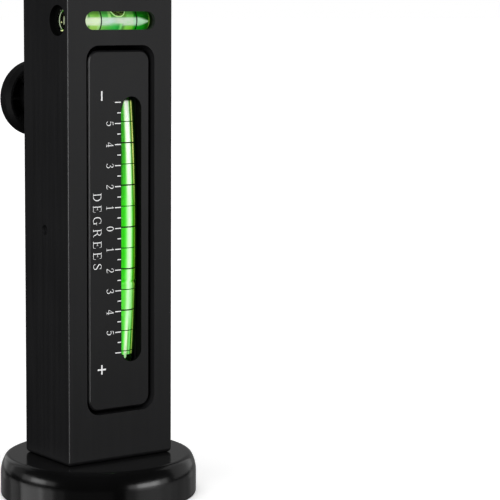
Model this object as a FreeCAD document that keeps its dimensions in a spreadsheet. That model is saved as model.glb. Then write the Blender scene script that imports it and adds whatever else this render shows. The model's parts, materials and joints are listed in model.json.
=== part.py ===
"""Camber caster gauge: a rectangular bar on a round magnet base, with a cross level, and a rocker that carries the
curved camber vial and its degree scale. A thumb screw in the back wall tilts the rocker on its cross pin, against a
return spring.

Millimetres. The origin is the centre of the magnet face, +Z runs up the bar, the scale faces -Y and the thumb screw
stands out of the back, towards +Y.
"""

import FreeCAD, Part
import math
import os

import Sketcher
from FreeCAD import Placement, Rotation, Vector

doc = FreeCAD.newDocument("camber_caster_gauge")

# ---------------------------------------------------------------------------------------------------------------
# Driving dimensions
# ---------------------------------------------------------------------------------------------------------------
ROWS = [
    # the bar
    ("bar_wide", 30.5, "bar width across the scale face"),
    ("bar_deep", 21.5, "bar depth, front to back"),
    ("bar_long", 116.2, "bar length"),
    ("bar_corner", 0.45, "radius of the bar's long edges"),
    ("bar_rim", 1.0, "radius of the bar's end edges"),
    ("well_wide", 19.9, "rocker well width"),
    ("well_low", 22.3, "height of the well's lower end"),
    ("well_high", 114.4, "height of the well's upper end"),
    ("well_corner", 3.6, "well corner radius"),
    ("well_deep", 16.5, "well depth from the front face"),
    # cross level
    ("cross_back", 4.8, "cross level axis behind the front face"),
    ("cross_high", 120.45, "height of the cross level axis"),
    ("cross_bore", 7.6, "cross level bore diameter"),
    ("cross_bore_end", 11.3, "X of the blind end of the cross bore"),
    ("slit_mid", 0.0, "X of the middle of the sight slot"),
    ("slit_wide", 20.3, "sight slot length"),
    ("slit_tall", 4.5, "sight slot height"),
    ("cross_tube", 7.4, "cross vial outer diameter"),
    ("cross_core", 5.0, "cross vial liquid diameter"),
    ("cross_left", -13.75, "X of the vial's plugged end"),
    ("cross_right", 11.1, "X of the vial's closed, domed end"),
    ("cross_end", 1.3, "thickness of the vial's closed end"),
    ("plug_long", 2.0, "length of a vial plug"),
    # pivot
    ("pivot_y", 0.6, "Y of the pivot pin"),
    ("pivot_z", 68.4, "height of the pivot pin"),
    ("pin_dia", 2.5, "pivot pin diameter"),
    ("pin_sunk", 0.65, "pin end below the side face"),
    ("pin_end", 13.5, "X of the pin's inner end"),
    ("bush_outer", 4.0, "pivot bush outer diameter"),
    ("bush_inner", 2.56, "pivot bush bore"),
    ("bush_flange", 5.4, "pivot bush flange diameter"),
    ("flange_thick", 0.85, "pivot bush flange thickness"),
    # rocker
    ("rock_wide", 17.9, "rocker width"),
    ("rock_low", 23.2, "height of the rocker's lower end"),
    ("rock_high", 113.1, "height of the rocker's upper end"),
    ("rock_corner", 2.8, "rocker corner radius"),
    ("rock_sunk", 0.7, "rocker face below the bar's front face"),
    ("rock_back", 1.3, "Y of the rocker's back face"),
    ("rock_edge", 0.4, "chamfer round the rocker's face"),
    ("ridge_back", 3.4, "Y of the back of the pivot ridge"),
    ("ridge_half", 5.0, "half height of the pivot ridge"),
    ("sight_x", 3.5, "X of the camber vial"),
    ("sight_wide", 6.0, "sight window width"),
    ("sight_low", 34.9, "lower end of the sight window"),
    ("sight_high", 101.7, "upper end of the sight window"),
    ("lip", 0.55, "wall left in front of the vial"),
    ("slot_wide", 7.4, "vial slot width"),
    ("slot_low", 33.6, "lower end of the vial slot"),
    ("slot_high", 103.2, "upper end of the vial slot"),
    # camber vial: a tube bent along an arc that bulges to the front
    ("vial_dia", 7.0, "camber vial outer diameter"),
    ("vial_core", 5.0, "camber vial liquid diameter"),
    ("vial_bend", 304.0, "radius of the vial's arc: 5.3 mm for each degree"),
    ("vial_half", 6.408, "half angle of the vial"),
    ("vial_plug", 0.377, "angle of one vial plug"),
    ("vial_front", 0.05, "play between vial and lip"),
    ("strip_wide", 4.6, "reflector strip width"),
    ("strip_thick", 0.5, "reflector strip thickness"),
    # rocker covers
    ("cover_left", -7.4, "X of the cover's left edge"),
    ("cover_right", 8.0, "X of the cover's right edge"),
    ("cover_front", 0.1, "Y of the cover's inner face"),
    ("cover_near", 6.0, "gap from the pivot to each cover"),
    ("cover_up", 109.0, "top of the upper cover"),
    ("cover_down", 25.4, "bottom of the lower cover"),
    ("cover_play", 0.1, "play round a cover in its step"),
    ("screw_x", -4.3, "X of the inner cover screws"),
    ("screw_in", 10.6, "height of the inner cover screws from the pivot"),
    ("screw_out", 37.8, "height of the outer cover screws from the pivot"),
    # adjuster
    ("lever_up", 31.25, "height of the thumb screw above the pivot"),
    ("stud_dia", 5.0, "thumb screw diameter"),
    ("stud_play", 0.05, "radial play of the thumb screw"),
    ("barrel_dia", 7.0, "threaded barrel diameter"),
    ("crown", 2.1, "Y of the crown of the thrust button"),
    ("foot_gap", 0.05, "gap between foot and crown"),
    ("foot_dia", 6.5, "swivel foot diameter"),
    ("foot_long", 2.2, "swivel foot length"),
    ("spigot_dia", 3.0, "stud spigot diameter"),
    ("washer_thick", 0.8, "spring washer thickness"),
    ("hub_front", 24.4, "Y of the knob hub's front"),
    ("face_front", 28.4, "Y of the knob's front rim"),
    ("knob_back", 33.6, "Y of the knob's back face"),
    ("knob_dia", 20.0, "knob diameter"),
    ("hub_dia", 11.0, "knob hub diameter"),
    ("insert_dia", 8.0, "knob insert diameter"),
    ("cap_dia", 12.0, "knob cap diameter"),
    # springs
    ("thrust_mean", 3.7, "mean radius of the thumb screw's spring"),
    ("thrust_wire", 0.5, "wire radius of the thumb screw's spring"),
    ("back_x", -3.8, "X of the return spring"),
    ("back_down", 40.2, "depth of the return spring below the pivot"),
    ("back_mean", 2.1, "mean radius of the return spring"),
    ("back_wire", 0.3, "wire radius of the return spring"),
    ("back_seat", 2.8, "radius of the return spring's seats"),
    ("back_bar", 2.5, "depth of the seat in the bar"),
    ("back_rock", 4.0, "depth of the seat in the rocker"),
    # magnet base
    ("base_dia", 50.0, "base diameter at the magnet face"),
    ("base_tall", 10.2, "base height"),
    ("base_round", 1.6, "radius of the base's upper edge, next to its top"),
    ("base_flank", 8.4, "radius of the same edge lower down, next to the side"),
    ("base_turn", 28.0, "degrees that the flank's arc turns through"),
    ("base_foot", 0.5, "radius of the base's lower edge"),
    ("rim_inner", 21.8, "inner radius of the base's rim"),
    ("pole_outer", 7.6, "outer radius of the centre pole"),
    ("groove_top", 6.5, "top of the magnet groove"),
    ("magnet_in", 8.0, "magnet inner radius"),
    ("magnet_out", 21.2, "magnet outer radius"),
    ("magnet_up", 0.25, "magnet above the magnet face"),
    ("bolt_dia", 6.0, "base screw diameter"),
    ("bolt_play", 0.2, "radial play of the base screw in the base"),
    ("bolt_head", 6.4, "radius of the countersink"),
    ("bolt_sunk", 0.6, "depth of the countersink's straight part"),
    ("bolt_in", 8.5, "length of base screw in the bar"),
    ("dowel_dia", 3.0, "dowel diameter"),
    ("dowel_x", 10.0, "X of each dowel"),
    ("dowel_low", 3.0, "dowel depth in the base"),
    ("dowel_high", 4.6, "dowel depth in the bar"),
]

sheet = doc.addObject("Spreadsheet::Sheet", "Dims")
for row, (alias, number, note) in enumerate(ROWS, 1):
    sheet.set(f"A{row}", note)
    sheet.set(f"B{row}", repr(float(number)))
    sheet.setAlias(f"B{row}", alias)
doc.recompute()


class Size:
    """A length made from the sheet's cells: its number now, and the expression that keeps a property bound to it."""

    def __init__(self, number, text):
        self.number, self.text = float(number), text

    def _with(self, other, sign, swap=False):
        if not isinstance(other, Size):
            other = Size(other, repr(float(other)))
        a, b = (other, self) if swap else (self, other)
        n = {
            "+": lambda: a.number + b.number,
            "-": lambda: a.number - b.number,
            "*": lambda: a.number * b.number,
            "/": lambda: a.number / b.number,
        }[sign]()
        return Size(n, f"({a.text} {sign} {b.text})")

    def __add__(self, o):
        return self._with(o, "+")

    def __radd__(self, o):
        return self._with(o, "+", True)

    def __sub__(self, o):
        return self._with(o, "-")

    def __rsub__(self, o):
        return self._with(o, "-", True)

    def __mul__(self, o):
        return self._with(o, "*")

    def __rmul__(self, o):
        return self._with(o, "*", True)

    def __truediv__(self, o):
        return self._with(o, "/")

    def __neg__(self):
        return Size(-self.number, f"(0 - {self.text})")


d = {alias: Size(number, f"Dims.{alias}") for alias, number, _ in ROWS}
ZERO = Size(0, "(0 * Dims.bar_wide)")


def size(x):
    return x if isinstance(x, Size) else Size(x, f"({float(x)!r} + 0 * Dims.bar_wide)")


# ---------------------------------------------------------------------------------------------------------------
# Helpers: a body, a sketch on one of its origin planes, profiles, and the features on them
# ---------------------------------------------------------------------------------------------------------------
def body(name, many=False):
    b = doc.addObject("PartDesign::Body", name)
    b.Label = name
    if many:
        b.AllowCompound = True
    return b


def sketch(b, name, role, out=None, up=None, across=None):
    """A sketch on an origin plane. out moves it along the plane's normal: -Y for XZ, +X for YZ, +Z for XY.
    up and across move its own origin in the plane."""
    sk = b.newObject("Sketcher::SketchObject", name)
    plane = [f for f in b.Origin.OriginFeatures if f.Role == role][0]
    sk.AttachmentSupport = [(plane, "")]
    sk.MapMode = "FlatFace"
    for axis, value in (("z", out), ("y", up), ("x", across)):
        if value is not None:
            sk.setExpression(f"AttachmentOffset.Base.{axis}", size(value).text)
    return sk


def pin_point(sk, geo, pos, x, y):
    x, y = size(x), size(y)
    for kind, value in (("DistanceX", x), ("DistanceY", y)):
        c = sk.addConstraint(Sketcher.Constraint(kind, -1, 1, geo, pos, value.number))
        sk.setExpression(f"Constraints[{c}]", value.text)


def polygon(sk, points):
    pts = [(size(x), size(y)) for x, y in points]
    v = [Vector(x.number, y.number, 0) for x, y in pts]
    n, first = len(v), sk.GeometryCount
    for i in range(n):
        sk.addGeometry(Part.LineSegment(v[i], v[(i + 1) % n]), False)
    for i in range(n):
        sk.addConstraint(
            Sketcher.Constraint("Coincident", first + i, 2, first + (i + 1) % n, 1)
        )
    for i, (x, y) in enumerate(pts):
        pin_point(sk, first + i, 1, x, y)
    return sk


def outline(sk, points, arcs):
    """A closed outline; side i runs from point i to the next. arcs names the sides that are clockwise arcs: each with
    its centre, and with the one axis on which that centre is pinned (its ends settle the other)."""
    pts = [(size(x), size(y)) for x, y in points]
    v = [Vector(x.number, y.number, 0) for x, y in pts]
    n, ends = len(v), []
    for i in range(n):
        a, b = v[i], v[(i + 1) % n]
        if i not in arcs:
            ends.append((sk.addGeometry(Part.LineSegment(a, b), False), 1, 2))
            continue
        cx, cy, _ = arcs[i]
        c = Vector(size(cx).number, size(cy).number, 0)
        low, high = (math.atan2(q.y - c.y, q.x - c.x) for q in (b, a))
        ring = Part.Circle(c, Vector(0, 0, 1), (a - c).Length)
        ends.append((sk.addGeometry(Part.ArcOfCircle(ring, low, high), False), 2, 1))
    for (g, _, last), (h, start, _) in zip(ends, ends[1:] + ends[:1]):
        sk.addConstraint(Sketcher.Constraint("Coincident", g, last, h, start))
    for (x, y), (g, start, _) in zip(pts, ends):
        pin_point(sk, g, start, x, y)
    for i, (cx, cy, axis) in arcs.items():
        value = size(cx if axis == "X" else cy)
        c = sk.addConstraint(
            Sketcher.Constraint(f"Distance{axis}", -1, 1, ends[i][0], 3, value.number)
        )
        sk.setExpression(f"Constraints[{c}]", value.text)
    return sk


def rectangle(sk, x0, y0, x1, y1):
    return polygon(sk, [(x0, y0), (x1, y0), (x1, y1), (x0, y1)])


def circle(sk, x, y, radius):
    x, y, radius = size(x), size(y), size(radius)
    g = sk.addGeometry(
        Part.Circle(Vector(x.number, y.number, 0), Vector(0, 0, 1), radius.number),
        False,
    )
    pin_point(sk, g, 3, x, y)
    c = sk.addConstraint(Sketcher.Constraint("Radius", g, radius.number))
    sk.setExpression(f"Constraints[{c}]", radius.text)
    return sk


def oblong(sk, x, y, long, wide, upright=False):
    """A slot with round ends, centred on x, y."""
    x, y, long, wide = size(x), size(y), size(long), size(wide)
    r, half = wide / 2, (long - wide) / 2
    ends = ((x, y - half), (x, y + half)) if upright else ((x - half, y), (x + half, y))
    (ax, ay), (bx, by) = ends
    turn = math.pi / 2 if not upright else math.pi
    a = Part.ArcOfCircle(
        Part.Circle(Vector(ax.number, ay.number, 0), Vector(0, 0, 1), r.number),
        turn,
        turn + math.pi,
    )
    b = Part.ArcOfCircle(
        Part.Circle(Vector(bx.number, by.number, 0), Vector(0, 0, 1), r.number),
        turn + math.pi,
        turn + 2 * math.pi,
    )
    ga, gb = sk.addGeometry(a, False), sk.addGeometry(b, False)
    gl = sk.addGeometry(Part.LineSegment(a.EndPoint, b.StartPoint), False)
    gm = sk.addGeometry(Part.LineSegment(b.EndPoint, a.StartPoint), False)
    for g, p, h, q in ((ga, 2, gl, 1), (gl, 2, gb, 1), (gb, 2, gm, 1), (gm, 2, ga, 1)):
        sk.addConstraint(Sketcher.Constraint("Tangent", g, p, h, q))
    pin_point(sk, ga, 3, ax, ay)
    pin_point(sk, gb, 3, bx, by)
    c = sk.addConstraint(Sketcher.Constraint("Radius", ga, r.number))
    sk.setExpression(f"Constraints[{c}]", r.text)
    return sk


def feature(b, kind, name, sk, **sizes):
    doc.recompute()
    f = b.newObject(f"PartDesign::{kind}", name)
    f.Profile = sk
    for key, value in sizes.items():
        if isinstance(value, Size):
            f.setExpression(key, value.text)
        else:
            setattr(f, key, value)
    sk.Visibility = False
    doc.recompute()
    return f


def pad(b, name, sk, length, **more):
    return feature(b, "Pad", name, sk, Length=size(length), **more)


def pocket(b, name, sk, length, turned=False):
    """Cuts length deep, against the sketch's normal, or along it when turned. It has to remove something."""
    before = b.Shape.Volume
    f = feature(b, "Pocket", name, sk, Length=size(length), Reversed=turned)
    if not b.Shape.Volume < before - 1e-4:
        raise SystemExit(f"{name} cuts nothing")
    return f


def turn(b, name, sk, axis="H_Axis", kind="Revolution"):
    doc.recompute()
    f = b.newObject(f"PartDesign::{kind}", name)
    f.Profile = sk
    f.ReferenceAxis = (sk, [axis])
    f.Angle = 360.0
    sk.Visibility = False
    doc.recompute()
    return f


def edges(name, shape, test):
    found = [f"Edge{i}" for i, e in enumerate(shape.Edges, 1) if test(e)]
    if not found:
        raise SystemExit(f"no edge matches for {name}")
    return found


def soften(b, name, base, test, radius, kind="Fillet"):
    f = b.newObject(f"PartDesign::{kind}", name)
    f.Base = (base, edges(name, base.Shape, test))
    f.setExpression("Radius" if kind == "Fillet" else "Size", size(radius).text)
    doc.recompute()
    return f


def straight(e, axis):
    """True for a straight edge along X, Y or Z (0, 1, 2)."""
    try:
        line = isinstance(e.Curve, Part.Line)
    except TypeError:  # an edge shrunk to a point, in a rounded corner
        line = False
    if not line:
        return False
    a, b = e.Vertexes[0].Point, e.Vertexes[-1].Point
    run = [abs(b[i] - a[i]) for i in range(3)]
    return run[axis] > 1e-4 and sum(run) - run[axis] < 1e-5


def near(a, b, tol=1e-3):
    return abs(a - b) < tol


def flat_at(e, axis, value):
    """True if the whole edge lies at that coordinate."""
    box = e.BoundBox
    lo = (box.XMin, box.YMin, box.ZMin)[axis]
    hi = (box.XMax, box.YMax, box.ZMax)[axis]
    return near(lo, value, 2e-3) and near(hi, value, 2e-3)


def moved(obj, base=(0, 0, 0), axis=(0, 0, 1), angle=0.0):
    obj.Placement = Placement(Vector(*base), Rotation(Vector(*axis), angle))
    return obj


PARTS = []


def keep(obj):
    PARTS.append(obj)
    return obj


half_wide, half_deep = d["bar_wide"] / 2, d["bar_deep"] / 2
front = -half_deep  # Y of the bar's front face
bar_low = d["base_tall"]
bar_high = d["base_tall"] + d["bar_long"]
well_floor = d["well_deep"] - half_deep  # Y of the inside of the back wall
cross_y = d["cross_back"] - half_deep
knob_z = d["pivot_z"] + d["lever_up"]
back_z = d["pivot_z"] - d["back_down"]
rock_front = d["rock_sunk"] - half_deep

# ---------------------------------------------------------------------------------------------------------------
# Bar: solid aluminium, with the rocker's well milled into the front
# ---------------------------------------------------------------------------------------------------------------
b = body("body_bar")
sk = sketch(b, "bar_plan", "XY_Plane", out=bar_low)
rectangle(sk, -half_wide, -half_deep, half_wide, half_deep)
f = pad(b, "bar", sk, d["bar_long"])
f = soften(b, "long_edges", f, lambda e: straight(e, 2), d["bar_corner"])
f = soften(
    b,
    "end_edges",
    f,
    lambda e: (
        flat_at(e, 2, bar_low.number) or flat_at(e, 2, bar_high.number)
    ),
    d["bar_rim"],
)

sk = sketch(b, "well_plan", "XZ_Plane", out=half_deep)
rectangle(
    sk, -d["well_wide"] / 2, d["well_low"], d["well_wide"] / 2, d["well_high"]
)
f = pocket(b, "well", sk, d["well_deep"])
f = soften(
    b,
    "well_corners",
    f,
    lambda e: (
        straight(e, 1)
        and near(abs(e.CenterOfMass.x), d["well_wide"].number / 2)
        and (
            near(e.CenterOfMass.z, d["well_low"].number)
            or near(e.CenterOfMass.z, d["well_high"].number)
        )
    ),
    d["well_corner"],
)

# the cross level's bore, blind from the left side, and the slot that shows its vial
sk = sketch(b, "cross_plan", "YZ_Plane", out=-half_wide)
circle(sk, cross_y, d["cross_high"], d["cross_bore"] / 2)
pocket(b, "cross_bore", sk, d["cross_bore_end"] + half_wide, turned=True)
sk = sketch(b, "slit_plan", "XZ_Plane", out=half_deep)
oblong(sk, d["slit_mid"], d["cross_high"], d["slit_wide"], d["slit_tall"])
pocket(b, "sight_slit", sk, d["cross_back"])

# pivot pin hole, through the left wall and blind in the right one
sk = sketch(b, "pivot_plan", "YZ_Plane", out=-half_wide)
circle(sk, d["pivot_y"], d["pivot_z"], d["pin_dia"] / 2)
pocket(b, "pivot_hole", sk, half_wide + d["pin_end"] + 0.15, turned=True)

# back wall: hole for the threaded barrel, and the return spring's seat
sk = sketch(b, "barrel_plan", "XZ_Plane", out=-half_deep)
circle(sk, 0, knob_z, d["barrel_dia"] / 2)
pocket(b, "barrel_hole", sk, half_deep - well_floor, turned=True)
sk = sketch(b, "seat_plan", "XZ_Plane", out=-well_floor)
circle(sk, d["back_x"], back_z, d["back_seat"])
pocket(b, "spring_seat", sk, d["back_bar"])

# foot of the bar: tapped hole and two dowel holes
sk = sketch(b, "tap_plan", "XY_Plane", out=bar_low)
circle(sk, 0, 0, d["bolt_dia"] / 2 + 0.05)
pocket(b, "tapped_hole", sk, d["bolt_in"] + 1.0, turned=True)
sk = sketch(b, "dowel_plan", "XY_Plane", out=bar_low)
circle(sk, -d["dowel_x"], 0, d["dowel_dia"] / 2)
circle(sk, d["dowel_x"], 0, d["dowel_dia"] / 2)
pocket(b, "dowel_holes", sk, d["dowel_high"] + 0.2, turned=True)
keep(b)

# ---------------------------------------------------------------------------------------------------------------
# Pivot pin, pressed into the bar
# ---------------------------------------------------------------------------------------------------------------
b = body("pivot_pin")
sk = sketch(b, "pin_plan", "YZ_Plane", out=d["pin_sunk"] - half_wide)
circle(sk, d["pivot_y"], d["pivot_z"], d["pin_dia"] / 2)
f = pad(b, "pin", sk, half_wide - d["pin_sunk"] + d["pin_end"])
soften(
    b,
    "pin_ends",
    f,
    lambda e: (
        flat_at(e, 0, d["pin_end"].number)
        or flat_at(e, 0, (d["pin_sunk"] - half_wide).number)
    ),
    0.3,
    "Chamfer",
)
keep(b)

# ---------------------------------------------------------------------------------------------------------------
# Cross level: a straight tube with a domed end, its liquid, and the plug in its left end
# ---------------------------------------------------------------------------------------------------------------
tube_r, core_r = d["cross_tube"] / 2, d["cross_core"] / 2


def bullet(sk, left, tip, radius):
    """Half the outline of a round bar with a domed right end, above the sketch's own X axis."""
    left, tip, radius = size(left), size(tip), size(radius)
    r, mid = radius.number, (tip - radius).number
    a, b = Vector(left.number, 0, 0), Vector(left.number, r, 0)
    c, e = Vector(mid, r, 0), Vector(tip.number, 0, 0)
    arc = Part.ArcOfCircle(
        Part.Circle(Vector(mid, 0, 0), Vector(0, 0, 1), r), 0.0, math.pi / 2
    )
    g = [
        sk.addGeometry(shape, False)
        for shape in (
            Part.LineSegment(a, b),
            Part.LineSegment(b, c),
            arc,
            Part.LineSegment(e, a),
        )
    ]
    for one, p, other, q in (
        (g[0], 2, g[1], 1),
        (g[1], 2, g[2], 2),
        (g[2], 1, g[3], 1),
        (g[3], 2, g[0], 1),
    ):
        sk.addConstraint(Sketcher.Constraint("Coincident", one, p, other, q))
    pin_point(sk, g[0], 1, left, ZERO)
    pin_point(sk, g[0], 2, left, radius)
    pin_point(sk, g[2], 3, tip - radius, ZERO)
    pin_point(sk, g[2], 1, tip, ZERO)
    c = sk.addConstraint(
        Sketcher.Constraint("DistanceX", -1, 1, g[2], 2, (tip - radius).number)
    )
    sk.setExpression(f"Constraints[{c}]", (tip - radius).text)
    return sk


b = body("cross_vial_tube")
sk = sketch(b, "tube_half", "XZ_Plane", out=-cross_y, up=d["cross_high"])
bullet(sk, d["cross_left"], d["cross_right"], tube_r)
f = turn(b, "tube", sk)
sk = sketch(b, "bore_half", "XZ_Plane", out=-cross_y, up=d["cross_high"])
bullet(sk, d["cross_left"] - 1, d["cross_right"] - d["cross_end"], core_r)
f = turn(b, "bore", sk, kind="Groove")
soften(
    b,
    "mouth",
    f,
    lambda e: flat_at(e, 0, d["cross_left"].number),
    0.2,
    "Chamfer",
)
keep(b)

b = body("cross_vial_fluid")
sk = sketch(b, "fluid_half", "XZ_Plane", out=-cross_y, up=d["cross_high"])
bullet(
    sk,
    d["cross_left"] + 0.5 + d["plug_long"],
    d["cross_right"] - d["cross_end"] - 0.02,
    core_r - 0.02,
)
turn(b, "fluid", sk)
keep(b)

b = body("cross_vial_plug")
sk = sketch(b, "plug_plan", "YZ_Plane", out=d["cross_left"] + 0.5)
circle(sk, cross_y, d["cross_high"], core_r)
pad(b, "plug", sk, d["plug_long"])
keep(b)

# ---------------------------------------------------------------------------------------------------------------
# Rocker housing: a long block with the sight window, the vial's slot, the pivot ridge and steps for its two covers
# ---------------------------------------------------------------------------------------------------------------
half_rock = d["rock_wide"] / 2
b = body("rocker_housing")
sk = sketch(b, "block_plan", "XZ_Plane", out=-d["rock_back"])
rectangle(sk, -half_rock, d["rock_low"], half_rock, d["rock_high"])
f = pad(b, "block", sk, d["rock_back"] - rock_front)
f = soften(b, "block_corners", f, lambda e: straight(e, 1), d["rock_corner"])
f = soften(
    b,
    "face_edge",
    f,
    lambda e: flat_at(e, 1, rock_front.number),
    d["rock_edge"],
    "Chamfer",
)
sk = sketch(b, "ridge_plan", "XZ_Plane", out=-d["ridge_back"])
rectangle(
    sk,
    -half_rock,
    d["pivot_z"] - d["ridge_half"],
    half_rock,
    d["pivot_z"] + d["ridge_half"],
)
f = pad(b, "ridge", sk, d["ridge_back"] - d["rock_back"] + 0.5)
sk = sketch(b, "vial_slot_plan", "XZ_Plane", out=-d["ridge_back"])
rectangle(
    sk,
    d["sight_x"] - d["slot_wide"] / 2,
    d["slot_low"],
    d["sight_x"] + d["slot_wide"] / 2,
    d["slot_high"],
)
f = pocket(
    b, "vial_slot", sk, d["ridge_back"] - rock_front - d["lip"], turned=True
)
sk = sketch(b, "window_plan", "XZ_Plane", out=-rock_front)
oblong(
    sk,
    d["sight_x"],
    (d["sight_low"] + d["sight_high"]) / 2,
    d["sight_high"] - d["sight_low"],
    d["sight_wide"],
    upright=True,
)
pocket(b, "sight_window", sk, d["lip"] + 0.5)
sk = sketch(b, "cover_step_plan", "XZ_Plane", out=-d["rock_back"])
for low, high in (
    (d["pivot_z"] + d["cover_near"], d["cover_up"]),
    (d["cover_down"], d["pivot_z"] - d["cover_near"]),
):
    rectangle(
        sk,
        d["cover_left"] - d["cover_play"],
        low - d["cover_play"],
        d["cover_right"] + d["cover_play"],
        high + d["cover_play"],
    )
pocket(b, "cover_steps", sk, d["rock_back"] - d["cover_front"], turned=True)
sk = sketch(b, "bush_plan", "YZ_Plane", out=-half_rock)
circle(sk, d["pivot_y"], d["pivot_z"], d["bush_outer"] / 2)
pocket(b, "bush_bore", sk, d["rock_wide"], turned=True)
sk = sketch(b, "rock_seat_plan", "XZ_Plane", out=-d["rock_back"])
circle(sk, d["back_x"], back_z, d["back_seat"])
pocket(b, "rock_spring_seat", sk, d["back_rock"], turned=True)
SCREWS = [
    (d["screw_x"], d["pivot_z"] + d["screw_in"]),
    (d["sight_x"], d["pivot_z"] + d["screw_out"]),
    (d["screw_x"], d["pivot_z"] - d["screw_in"]),
    (d["sight_x"], d["pivot_z"] - d["screw_out"]),
]
sk = sketch(b, "screw_plan", "XZ_Plane", out=-d["cover_front"])
for x, z in SCREWS:
    circle(sk, x, z, 1.02)
pocket(b, "screw_holes", sk, 4.6, turned=True)
keep(b)

# flanged bushes in the ridge: their flanges keep the rocker central in the well
wall_right = d["sight_x"] + d["slot_wide"] / 2
b = body("pivot_bushes", many=True)
sk = sketch(b, "left_flange_plan", "YZ_Plane", out=-half_rock - d["flange_thick"])
circle(sk, d["pivot_y"], d["pivot_z"], d["bush_flange"] / 2)
pad(b, "left_flange", sk, d["flange_thick"])
sk = sketch(b, "left_bush_plan", "YZ_Plane", out=-half_rock)
circle(sk, d["pivot_y"], d["pivot_z"], d["bush_outer"] / 2)
pad(b, "left_bush", sk, 5.9)
sk = sketch(b, "right_flange_plan", "YZ_Plane", out=half_rock)
circle(sk, d["pivot_y"], d["pivot_z"], d["bush_flange"] / 2)
pad(b, "right_flange", sk, d["flange_thick"])
sk = sketch(b, "right_bush_plan", "YZ_Plane", out=wall_right)
circle(sk, d["pivot_y"], d["pivot_z"], d["bush_outer"] / 2)
pad(b, "right_bush", sk, half_rock - wall_right)
sk = sketch(b, "bush_hole_plan", "YZ_Plane", out=-half_wide)
circle(sk, d["pivot_y"], d["pivot_z"], d["bush_inner"] / 2)
pocket(b, "bush_holes", sk, d["bar_wide"], turned=True)
keep(b)

# ---------------------------------------------------------------------------------------------------------------
# Camber vial: a bent tube, its liquid, a plug in each end, and the white strip behind it. All are rings' sectors
# about one axis, parallel to X, far behind the gauge.
# ---------------------------------------------------------------------------------------------------------------
N = {key: value.number for key, value in d.items()}
vial_r = N["vial_dia"] / 2
vial_y = -N["bar_deep"] / 2 + N["rock_sunk"] + N["lip"] + N["vial_front"] + vial_r
bend_y = vial_y + N["vial_bend"]


def sector(obj, start, sweep):
    """Places a torus or tube sector so that it runs down from start degrees above the pivot's height."""
    lay = Rotation(Vector(0, -1, 0), Vector(0, 0, -1), Vector(1, 0, 0), "ZXY")
    obj.Placement = Placement(
        Vector(N["sight_x"], bend_y, N["pivot_z"]),
        Rotation(Vector(1, 0, 0), -start).multiply(lay),
    )
    return obj


def torus(name, radius, start, sweep):
    t = doc.addObject("Part::Torus", name)
    t.setExpression("Radius1", "Dims.vial_bend")
    t.setExpression("Radius2", radius.text)
    t.Angle1, t.Angle2 = -180, 180
    t.setExpression("Angle3", sweep.text)
    t.Visibility = False
    return sector(t, start.number, sweep.number)


core = d["vial_core"] / 2
outer = torus("vial_outer", d["vial_dia"] / 2, d["vial_half"], d["vial_half"] * 2)
hollow = torus("vial_hollow", core, d["vial_half"], d["vial_half"] * 2)
tube = doc.addObject("Part::Cut", "camber_vial_tube")
tube.Base, tube.Tool, tube.Label = outer, hollow, "camber_vial_tube"
keep(tube)

inside = d["vial_half"] - d["vial_plug"]
fluid = torus("camber_vial_fluid", core - 0.02, inside, inside * 2)
fluid.Label = "camber_vial_fluid"
keep(fluid)

plugs = doc.addObject("Part::Compound", "camber_vial_plugs")
plugs.Label = "camber_vial_plugs"
plugs.Links = [
    torus("plug_upper", core, d["vial_half"], d["vial_plug"]),
    torus("plug_lower", core, -inside, d["vial_plug"]),
]
keep(plugs)

strip_out = N["vial_bend"] - vial_r - 0.1
ring_out = doc.addObject("Part::Cylinder", "strip_ring")
ring_in = doc.addObject("Part::Cylinder", "strip_core")
for ring, radius in ((ring_out, strip_out), (ring_in, strip_out - N["strip_thick"])):
    ring.Radius = radius
    ring.setExpression("Height", "Dims.strip_wide")
    ring.Angle = 12.2
    ring.Visibility = False
    sector(ring, 6.1, 12.2)
    ring.Placement.Base.x = N["sight_x"] - N["strip_wide"] / 2
strip = doc.addObject("Part::Cut", "vial_reflector_strip")
strip.Base, strip.Tool, strip.Label = ring_out, ring_in, "vial_reflector_strip"
keep(strip)

# ---------------------------------------------------------------------------------------------------------------
# Covers on the rocker's back, their screws, and the thrust button that the thumb screw pushes on
# ---------------------------------------------------------------------------------------------------------------
HEAD_R, HEAD_DEEP = 1.9, 0.9
for name, low, high, screws, holes in (
    (
        "rocker_cover_upper",
        d["pivot_z"] + d["cover_near"],
        d["cover_up"],
        SCREWS[:2],
        [(ZERO, knob_z, size(1.2))],
    ),
    (
        "rocker_cover_lower",
        d["cover_down"],
        d["pivot_z"] - d["cover_near"],
        SCREWS[2:],
        [(d["back_x"], back_z, d["back_seat"] + 0.1)],
    ),
):
    b = body(name)
    sk = sketch(b, "cover_plan", "XZ_Plane", out=-d["rock_back"])
    rectangle(sk, d["cover_left"], low, d["cover_right"], high)
    f = pad(b, "cover", sk, d["rock_back"] - d["cover_front"])
    sk = sketch(b, "hole_plan", "XZ_Plane", out=-d["rock_back"])
    for x, z in screws:
        circle(sk, x, z, 1.02)
    for x, z, r in holes:
        circle(sk, x, z, r)
    pocket(b, "holes", sk, 3.0, turned=True)
    for i, (x, z) in enumerate(screws):
        sk = sketch(b, f"sink_plan_{i}", "YZ_Plane", out=x, up=z)
        y = d["rock_back"]
        polygon(
            sk,
            [
                (y + 0.01, ZERO),
                (y + 0.01, size(HEAD_R + 0.06)),
                (y - HEAD_DEEP - 0.05, size(1.0)),
                (y - HEAD_DEEP - 0.05, ZERO),
            ],
        )
        turn(b, f"sink_{i}", sk, kind="Groove")
    keep(b)

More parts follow.
